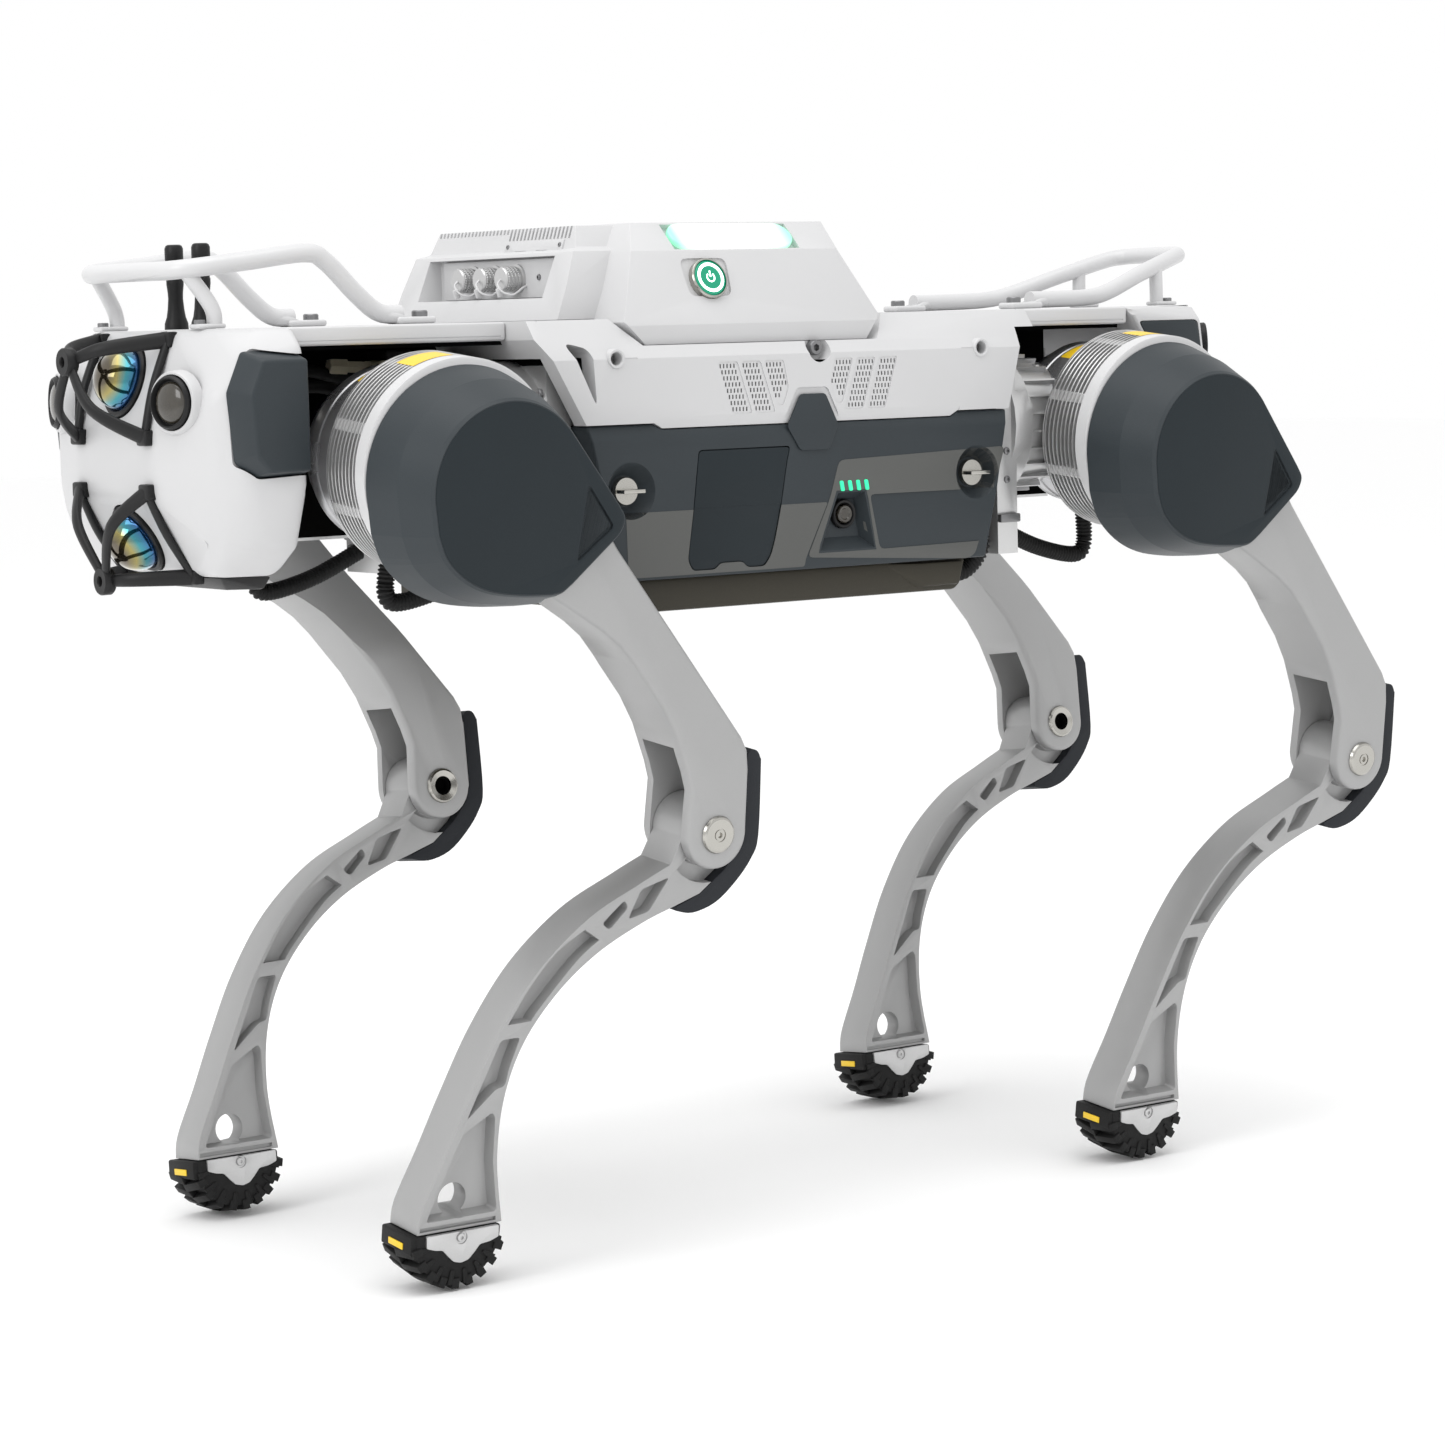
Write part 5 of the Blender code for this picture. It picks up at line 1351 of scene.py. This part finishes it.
def make_battery():
    half = BATTERY_FACE
    side_view = [
        (-0.174, SEAM_Z + 0.003), (-0.154, BATTERY_LOW), (0.154, BATTERY_LOW),
        (0.178, SEAM_Z + 0.003), (0.1262, SEAM_Z + 0.003), (0.1192, SEAM_Z - 0.0006),
        (-0.1232, SEAM_Z - 0.0006), (-0.1292, SEAM_Z + 0.003)]
    pack = plate(side_view, 2 * half, side_frame(0))
    pack = cut(pack, fold_wedge(LEFT), fold_wedge(RIGHT))
    bevel = []
    for side in (LEFT, RIGHT):
        bevel.append(loft([[(x, side * y, z) for y, z in (
            (half + 0.002, SEAM_Z - 0.007), (half, SEAM_Z - 0.0065), (half - 0.0028, SEAM_Z + 0.004),
            (half + 0.002, SEAM_Z + 0.004))] for x in (-0.2, 0.2)]))
    pack = softened(cut(pack, *bevel), 0.0016, 3, 5)
    zone_outer = rounded([
        (-0.0245, 0.5205), (-0.17, 0.5245), (-0.144, 0.4505), (-0.1372, 0.4478), (0.002, 0.456),
        (-0.017, 0.4976)], 0.0045, 3)
    field = rounded([(-0.05, 0.4962), (-0.19, 0.4958), (-0.19, 0.46), (-0.06, 0.4585)], 0.004, 3)
    tools = []
    dish = turned([(0, -0.01), (0.0105, -0.01), (0.0125, -0.0085), (0.017, -0.002), (0.0192, 0.0004),
                   (0.0192, 0.004), (0, 0.004)], None, 72)
    for side in (LEFT, RIGHT):
        for x in (AFT_LOCK_X, FORE_LOCK_X):
            shape = dish.copy()
            shape.transform(aimed((x, side * half, LOCK_Z), (0, side, 0)))
            tools.append(shape)
    tools.append(button_recess(0))
    tools.append(rod(0.01, (-0.034, half - 0.018, 0.4835), (-0.034, half - 0.006, 0.4835), 48))
    well = rounded(scaled(door_outline(), 1.02, (0.061, 0.491)), 0.003, 3)
    tools.append(plate(well, 0.01, side_frame(half)))
    tools.append(box((0.042, half - 0.02, 0.475), (0.078, half, 0.505)))
    tools.append(plate(field, 0.0012, side_frame(half)))
    pack = softened(cut(pack, *tools), 0, smooth=24)
    torso_piece("battery_case", pack, slate_moulding(), ["battery_pack"], "battery")
    zone = plate(zone_outer, 0.01, side_frame(half - 0.0047))
    zone = cut(zone, fold_wedge(LEFT, -0.0004), plate(field, 0.03, side_frame(half)),
               button_recess(0.0014), *[tool.copy() for tool in tools[:2]])
    zone = softened(zone, 0.0003, 2, 20)
    torso_piece("battery_zone", zone, grey_moulding(), body="battery")
    lower = plate(rounded([
        (0.151, 0.4928), (-0.0142, 0.4926), (0.0032, 0.4555), (0.0042, 0.45), (0.148, 0.45)], 0.002),
        0.01, side_frame(half - 0.0047))
    lower = cut(lower, fold_wedge(LEFT, -0.0002), plate(well, 0.03, side_frame(half)),
                *[tool.copy() for tool in tools[:2]])
    torso_piece("battery_lower_zone", softened(lower, 0), grey_moulding(),
                body="battery")
    lamps = []
    for k in range(4):
        x = -0.0262 - 0.007 * k
        lamp = [(x - 0.0022, 0.4995), (x + 0.0008, 0.4995), (x + 0.002, 0.5065), (x - 0.001, 0.5065)]
        lamps.append(plate(rounded(lamp, 0.001, 3), 0.0016, side_frame(half + 0.0002)))
    torso_piece("charge_lamps", softened(merged(*lamps), 0.0003, 2), lamp_green(),
                body="battery")
    socket = rod(0.009, (0.06, half - 0.02, 0.49), (0.06, half - 0.008, 0.49), 40)
    pins = [rod(0.0014, (0.06 + dx, half - 0.011, 0.49 + dz), (0.06 + dx, half - 0.0076, 0.49 + dz), 16)
            for dx, dz in ((-0.004, 0.003), (0.004, 0.003), (0, -0.0045))]
    torso_piece("charge_socket_body", softened(socket, 0.0006, 2), black_plastic(),
                body="battery")
    torso_group("charge_socket_pins", pins, bright_steel(), body="battery")


def make_door():
    """Two-plane charging door with a finger notch in its lower edge."""
    outline = rounded(door_outline(), 0.0026, 3)
    door = plate(outline, 0.008, side_frame(BATTERY_FACE - 0.004))
    inner = loft([[(x, y, z) for y, z in (
        (BATTERY_FACE - 0.03, 0.54), (BATTERY_FACE - 0.0034, 0.54), (BATTERY_FACE - 0.0034, FOLD_Z),
        (BATTERY_FACE - 0.0034 - (FOLD_Z - 0.44) * TILT, 0.44), (BATTERY_FACE - 0.03, 0.44))]
        for x in (-0.01, 0.13)])
    door = softened(cut(door, fold_wedge(LEFT, 0.0002), inner), 0.0006, 2, 20)
    # The leaf takes the darker slate copy, painted shade.
    torso_piece("charge_door_leaf", door, slate_painted_shade(), ["charge_port_door"],
                "charge_port_door")


def make_battery_button():
    """Round press button behind a dark glass ring."""
    turn = aimed((-0.034, BATTERY_FACE - 0.011, 0.4835), (0, 1, 0))
    ring = turned([
        (0.0066, -0.002), (0.0098, -0.002), (0.0098, 0.003), (0.0092, 0.0038), (0.0078, 0.0034),
        (0.0066, 0.0018), (0.0066, -0.002)], turn, 64)
    torso_piece("battery_button_ring", softened(ring, 0, smooth=30), black_plastic(),
                body="battery")
    cap = turned([
        (0, -0.0012), (0.006, -0.0012), (0.006, 0.0038), (0.0054, 0.0045), (0.004, 0.0042),
        (0.0034, 0.0036), (0, 0.0034)], turn, 64)
    torso_piece("battery_button_cap", softened(cap, 0, smooth=30), lens_glass(),
                ["battery_button"], "battery_button")


def make_locks():
    """Quarter-turn locks: a turned head and a grip bar; on the far side, a plain disc under a socket
    screw.
    """
    for name, x in (("front_lock", FORE_LOCK_X), ("rear_lock", AFT_LOCK_X)):
        turn = aimed((x, BATTERY_FACE - 0.01, LOCK_Z), (0, 1, 0))
        head = turned([(0, 0.0003), (0.0092, 0.0003), (0.0094, 0.003), (0.0088, 0.0042), (0, 0.0044)],
                      turn, 64)
        grip = softened(box((-0.0085, -0.0013, 0.0036), (0.0085, 0.0013, 0.014)), 0.0006, 2)
        grip.transform(turn)
        torso_piece(name + "_knob", softened(merged(head, grip), 0, smooth=30), bright_steel(),
                    [name], name)
    blanks = []
    for x in (FORE_LOCK_X, AFT_LOCK_X):
        turn = aimed((x, -BATTERY_FACE + 0.01, LOCK_Z), (0, -1, 0))
        blanks.append(turned([(0, 0.0), (0.0092, 0.0), (0.0094, 0.0026), (0.0088, 0.0036), (0, 0.0038)],
                             turn, 64))
        blanks.append(hex_screw(0.0046, 0.0034, (x, -BATTERY_FACE + 0.0064, LOCK_Z), (0, -1, 0)))
    torso_group("far_side_bolts", blanks, dark_metal(), smooth=30, body="battery")


# ---------------------------------------------------------------- head
def head_corners():
    return mirrored([
        (0.4417, 0.055, 0.514), (0.4417, 0.055, 0.555), (0.4385, 0.083, 0.522), (0.4385, 0.083, 0.555),
        (0.428, 0.104, 0.522), (0.428, 0.104, 0.577), (0.412, 0.121, 0.522), (0.412, 0.121, 0.594),
        (0.3747, 0.13, 0.519), (0.3747, 0.13, 0.606),
        (0.422, 0.055, DECK_TOP), (0.412, 0.085, DECK_TOP), (0.395, 0.108, DECK_TOP),
        (0.3747, 0.118, DECK_TOP), (0.413, 0.055, 0.463), (0.409, 0.075, 0.463),
        (0.3747, 0.088, 0.463), (0.425, 0.098, 0.485), (0.4, 0.112, 0.481), (0.3747, 0.115, 0.481)])


def dome_places():
    upper = Vector((0.955, 0, 0.296)).normalized()
    lower = Vector((0.872, 0, -0.49)).normalized()
    return (("upper_dome", Vector((0.4315, 0, 0.5876)), upper),
            ("lower_dome", Vector((0.427, 0, 0.487)), lower))


def lens_place(side):
    return Vector((0.4385, side * 0.0775, 0.574)), Vector((0.96, side * 0.28, 0.03)).normalized()


def pad_points(side, grow=0.0):
    points = []
    for x, z in ((0.3752, 0.525), (0.408, 0.525), (0.419, 0.536), (0.423, 0.58),
                 (0.412, 0.605), (0.3752, 0.6055)):
        points.append((x, side * 0.113, z))
    for x, z in ((0.3752, 0.53), (0.404, 0.53), (0.413, 0.54), (0.416, 0.578),
                 (0.407, 0.599), (0.3752, 0.599)):
        points.append((x, side * 0.135, z))
    middle = Vector((0.4, side * 0.12, 0.565))
    return [tuple(Vector(p) + grow * (Vector(p) - middle).normalized() * 1.6) for p in points]


def mirror_dome():
    """Dark blue rim, teal band and golden centre painted by height over the dome: the coating's own tint,
    laid out as a painted reflection of the colours it shows towards one side.
    """
    made = finish("mirror_dome", (0.03, 0.1, 0.2), 0.07, metallic=0.85, tint=0.2, bump=0.0, blotch=60,
                  coat=1.0)
    tree = made.node_tree
    surface = tree.nodes["Principled BSDF"]
    surface.inputs["Coat Roughness"].default_value = 0.03
    place = add_node(tree, "ShaderNodeTexCoord")
    parts = add_node(tree, "ShaderNodeSeparateXYZ")
    tree.links.new(place.outputs["Object"], parts.inputs["Vector"])
    noise = add_node(tree, "ShaderNodeTexNoise", Scale=55.0, Detail=2.0)
    tree.links.new(place.outputs["Object"], noise.inputs["Vector"])
    height = add_node(tree, "ShaderNodeMapRange")
    height.inputs["From Min"].default_value = 0.0
    height.inputs["From Max"].default_value = 0.021
    tree.links.new(parts.outputs["Z"], height.inputs["Value"])
    sway = add_node(tree, "ShaderNodeMath", operation="MULTIPLY_ADD")
    sway.inputs[1].default_value = 0.22
    tree.links.new(noise.outputs["Fac"], sway.inputs[0])
    tree.links.new(height.outputs["Result"], sway.inputs[2])
    ramp = add_node(tree, "ShaderNodeValToRGB")
    # Painted reflection: the rim-to-centre colours the coated dome shows at one angle, fixed by height
    # over the coating's tint.
    stops = ((0.0, (0.004, 0.02, 0.07)), (0.3, (0.01, 0.1, 0.3)), (0.58, (0.02, 0.24, 0.28)),
             (0.8, (0.3, 0.25, 0.06)), (1.0, (0.1, 0.08, 0.05)))
    ramp.color_ramp.elements[0].color = (*stops[0][1], 1)
    ramp.color_ramp.elements[1].color = (*stops[-1][1], 1)
    for position, colour in stops[1:-1]:
        ramp.color_ramp.elements.new(position).color = (*colour, 1)
    tree.links.new(sway.outputs[0], ramp.inputs["Fac"])
    tree.links.new(ramp.outputs["Color"], surface.inputs["Base Color"])
    return made


def make_head():
    shell = softened(hull(head_corners()), 0.0062, 4, 8, 50)
    tools = []
    for _, place, out in dome_places():
        tools.append(rod(0.0245, place - 0.012 * out, place + 0.02 * out, 72, 0.0262))
    for side in (LEFT, RIGHT):
        place, out = lens_place(side)
        tools.append(rod(0.0178, place - 0.0058 * out, place + 0.03 * out, 64))
        tools.append(softened(hull(pad_points(side, 0.001)), 0.002, 2, 10))
    tools.append(box((0.37, -0.2, 0.47), (0.376, 0.2, 0.4706)))
    tools.append(box((0.37, -0.055, 0.6184), (0.413, 0.055, 0.62)))
    shell = softened(cut(shell, *tools), 0, smooth=32)
    torso_piece("head_cowl", shell, white_shell(), ["head_shell"])
    bezels, rims, lenses = [], [], []
    for name, place, out in dome_places():
        seat = aimed(place, out)
        dome = turned(cap_profile(0.02, 0.02, 0.0012, 5) + [(0.02, -0.011), (0, -0.011)], None, 96)
        place_piece(name + "_glass", softened(dome, 0, smooth=50), BODY @ seat, "torso", mirror_dome(),
                    [name])
        bezels.append(turned([
            (0.0203, -0.011), (0.024, -0.011), (0.024, 0.0014), (0.023, 0.0026), (0.0212, 0.0026),
            (0.0203, 0.0018), (0.0203, -0.011)], seat, 80))
    for side in (LEFT, RIGHT):
        place, out = lens_place(side)
        seat = aimed(place, out)
        rims.append(turned([
            (0.0173, -0.005), (0.0205, -0.005), (0.02, 0.0012), (0.0188, 0.003), (0.0176, 0.003),
            (0.0173, 0.002), (0.0173, -0.005)], seat, 72))
        bezels.append(turned([
            (0, -0.0055), (0.0168, -0.0055), (0.0168, 0.0046), (0.0156, 0.0062), (0.0148, 0.0062),
            (0.0136, 0.003), (0, 0.003)], seat, 72))
        lenses.append(turned(cap_profile(0.0132, 0.0045, 0.0028, 9) + [(0, 0.0028)], seat, 72))
    for side, word in ((LEFT, "left"), (RIGHT, "right")):
        pad = softened(hull(pad_points(side)), 0.0022, 3, 8, 50)
        torso_piece(f"{word}_cheek_pad", pad, slate_moulding(), [f"{word}_bumper_pad"])
    torso_group("head_bezels", bezels, black_plastic(), ["left_camera", "right_camera"],
                smooth=30)
    torso_group("lens_rims", rims, white_shell(), smooth=30)
    torso_group("camera_glass", lenses, lens_glass(), smooth=60)
    under = softened(hull(mirrored([
        (0.376, 0.08, 0.4626), (0.406, 0.068, 0.4626), (0.409, 0.04, 0.4626),
        (0.376, 0.07, 0.454), (0.396, 0.056, 0.454)])), 0.0012, 2, 12)
    torso_piece("head_under_tray", under, black_plastic())


def make_guards():
    """Bowed flat arms from a holed boss to the cowl, with a rail joining each side's feet."""
    for name, boss, feet in (
            ("upper_guard", Vector((0.472, 0, 0.6005)), ((0.425, 0.046, 0.613), (0.444, 0.046, 0.552))),
            ("lower_guard", Vector((0.452, 0, 0.461)), ((0.413, 0.046, 0.463), (0.444, 0.046, 0.518)))):
        parts = [turned([
            (0.003, -0.004), (0.0082, -0.004), (0.009, -0.003), (0.009, 0.003), (0.0082, 0.004),
            (0.0036, 0.004), (0.003, 0.003), (0.003, -0.004)], aimed(boss, (1, 0, 0)), 48)]
        for side in (LEFT, RIGHT):
            ends = []
            for x, y, z in feet:
                foot = Vector((x, side * y, z))
                ends.append(foot)
                bow = (boss + foot) / 2 + Vector((0.01, 0, (foot.z - boss.z) * 0.12))
                start = boss + (bow - boss).normalized() * 0.005
                line = through([start, bow, foot], 9)
                parts.append(swept(line, lambda share: 0.0038 + 0.0016 * share, 20, 0.62, up=(1, 0, 0)))
                pad = softened(box((-0.0045, -0.0065, -0.005), (0.0032, 0.0065, 0.005)), 0.0016, 2)
                pad.transform(Matrix.Translation(foot - Vector((0.0004, side * 0.0005, 0))))
                parts.append(pad)
            middle = (ends[0] + ends[1]) / 2 + Vector((0.003, side * 0.0012, 0))
            parts.append(swept(through([ends[0], middle, ends[1]], 8), 0.0034, 18, 0.75, up=(1, 0, 0)))
        torso_group(name + "_frame", parts, black_plastic(), [name], smooth=45)


# ---------------------------------------------------------------- rails, antennas and tail
RAIL_ROUND = 0.006


def make_rail(name, controls, post, foot):
    half = through(controls, 10)
    far = [(x, -y, z) for x, y, z in reversed(half)]
    parts = [swept(half + far[1:], RAIL_ROUND, 24)]
    ground = DECK_TOP + 0.0003
    bolts = []
    for side in (LEFT, RIGHT):
        x, y = foot
        inwards = FORE if x < 0 else AFT
        low, high = sorted((x + inwards * 0.019, x - inwards * 0.01))
        parts.append(softened(box((low, side * y - 0.0085, ground),
                                  (high, side * y + 0.0085, ground + 0.0045)), 0.0018, 3))
        neck = [(x - inwards * 0.002, side * y + dy, ground + dz) for dy in (-0.0075, 0.0075)
                for dz in (0.0006, 0.0044)]
        neck += [(x - inwards * 0.019, py, pz)
                 for py, pz in arc((side * y, 0.6257), 0.0056, 0, 337.5, 16)]
        parts.append(softened(hull(neck), 0.0008, 2, 30))
        line = [(px, side * py, pz) for px, py, pz in through(post, 8)]
        parts.append(swept(line, 0.005, 20, up=(1, 0, 0)))
        px, py, pz = line[0]
        low, high = sorted((px + inwards * 0.005, px - inwards * 0.015))
        parts.append(softened(box((low, py - 0.0065, ground), (high, py + 0.0065, ground + 0.003)),
                              0.0012, 2))
        bolts.append(hex_screw(0.0052, 0.004, (x + inwards * 0.011, side * y, ground + 0.0045),
                               (0, 0, 1)))
        bolts.append(hex_screw(0.0036, 0.0026, (px - inwards * 0.0105, py, ground + 0.003), (0, 0, 1)))
    torso_group(name + "_tube", parts, white_paint(), [name], smooth=45)
    torso_group(name + "_bolts", bolts, dark_metal())


def make_rails():
    make_rail("front_rail", [
        (0.269, 0.07, 0.6256), (0.285, 0.07, 0.627), (0.301, 0.07, 0.639),
        (0.323, 0.07, 0.66), (0.338, 0.07, 0.6655), (0.38, 0.07, 0.661),
        (0.413, 0.067, 0.6575), (0.4265, 0.052, 0.656), (0.429, 0.03, 0.656), (0.429, 0.0, 0.656)],
        [(0.402, 0.0655, DECK_TOP + 0.001), (0.404, 0.0655, 0.633), (0.419, 0.061, 0.656)], (0.265, 0.07))
    make_rail("rear_rail", [
        (-0.265, 0.0672, 0.6256), (-0.285, 0.0665, 0.6256), (-0.326, 0.061, 0.6265),
        (-0.35, 0.057, 0.6305), (-0.39, 0.047, 0.643), (-0.43, 0.038, 0.6545),
        (-0.443, 0.03, 0.657), (-0.447, 0.015, 0.6575), (-0.447, 0.0, 0.6575)],
        [(-0.409, 0.044, DECK_TOP + 0.001), (-0.409, 0.044, 0.63), (-0.409, 0.0435, 0.647)],
        (-0.261, 0.0672))


def make_antennas():
    ground = DECK_TOP + 0.0003
    for word, y in (("left", 0.018), ("right", -0.018)):
        profile = [(0, 0.0545), (0.004, 0.0545), (0.0052, 0.0538), (0.006, 0.052), (0.006, 0.045),
                   (0.0056, 0.044)]
        for k in range(3):
            height = 0.042 - 0.004 * k
            profile += [(0.0056, height), (0.0052, height - 0.0006), (0.0052, height - 0.0012),
                        (0.0056, height - 0.0018)]
        profile += [(0.0056, 0.029), (0.005, 0.024), (0.0048, 0.02), (0.0054, 0.013), (0.0062, 0.008),
                    (0.0076, 0.004), (0.0078, 0.0), (0, 0.0)]
        mast = softened(turned(profile, Matrix.Translation((0.384, y, ground)), 48), 0, smooth=35)
        torso_piece(f"{word}_antenna_mast", mast, black_plastic(), [f"{word}_antenna"])


def make_tail():
    corners = [
        (-0.323, 0.108, DECK_TOP), (-0.323, 0.112, 0.615), (-0.348, 0.112, 0.578),
        (-0.388, 0.104, DECK_TOP), (-0.39, 0.112, 0.608), (-0.396, 0.11, 0.578),
        (-0.44, 0.05, 0.578), (-0.437, 0.05, 0.61), (-0.426, 0.048, DECK_TOP)]
    shell = softened(hull(mirrored(corners)), 0.004, 4, 8, 50)
    panel = plate(rounded([(-0.04, 0.584), (0.04, 0.584), (0.04, 0.606), (-0.04, 0.606)], 0.005), 0.006,
                  front_frame(-0.4405))
    inlay = rounded([(-0.331, 0.608), (-0.387, 0.608), (-0.3925, 0.58), (-0.35, 0.58)], 0.004, 3)
    wells = [plate(scaled(inlay, 1.035, (-0.365, 0.594)), 0.0054, side_frame(side * 0.112))
             for side in (LEFT, RIGHT)]
    shell = cut(shell, panel, *wells)
    for side, word in ((LEFT, "left"), (RIGHT, "right")):
        pad = softened(plate(inlay, 0.0026, side_frame(side * 0.1108)), 0.001, 2)
        torso_piece(f"{word}_tail_pad", pad, slate_moulding())
    rims, glass = [], []
    for side in (LEFT, RIGHT):
        centre = Vector((-0.416, side * 0.08, 0.593))
        out = Vector((-0.8, side * 0.59, 0.05)).normalized()
        seat = aimed(centre, out)
        rims.append(turned([
            (0.0085, -0.005), (0.0125, -0.005), (0.0125, 0.006), (0.0118, 0.007), (0.0092, 0.007),
            (0.0085, 0.005), (0.0085, -0.005)], seat, 64))
        glass.append(turned([(0, -0.005), (0.0083, -0.005), (0.0083, 0.003), (0.006, 0.0048),
                             (0, 0.0054)], seat, 64))
    torso_piece("tail_cowl", softened(shell, 0, smooth=32), white_shell(),
                ["tail_block"])
    torso_group("tail_lamp_rims", rims, black_plastic(), smooth=30)
    torso_group("tail_cameras", glass, lens_glass(), smooth=30)
    # The grille bars take the darker slate copy, painted shade.
    slots = [
        softened(box((-0.439, -0.034 + 0.0118 * k, 0.588), (-0.437, -0.0262 + 0.0118 * k, 0.602)),
                 0.0006, 2)
        for k in range(6)]
    torso_piece("tail_grille", merged(*slots), slate_painted_shade())


# ---------------------------------------------------------------- the scene
make_camera()
make_studio()
for corner, end, side in CORNERS:
    make_leg(corner, end, side)
make_torso_shell()
make_decks()
make_bay_fittings()
make_chassis()
make_tray()
make_module()
make_ports()
make_lights()
make_battery()
make_door()
make_battery_button()
make_locks()
make_head()
make_guards()
make_rails()
make_antennas()
make_tail()
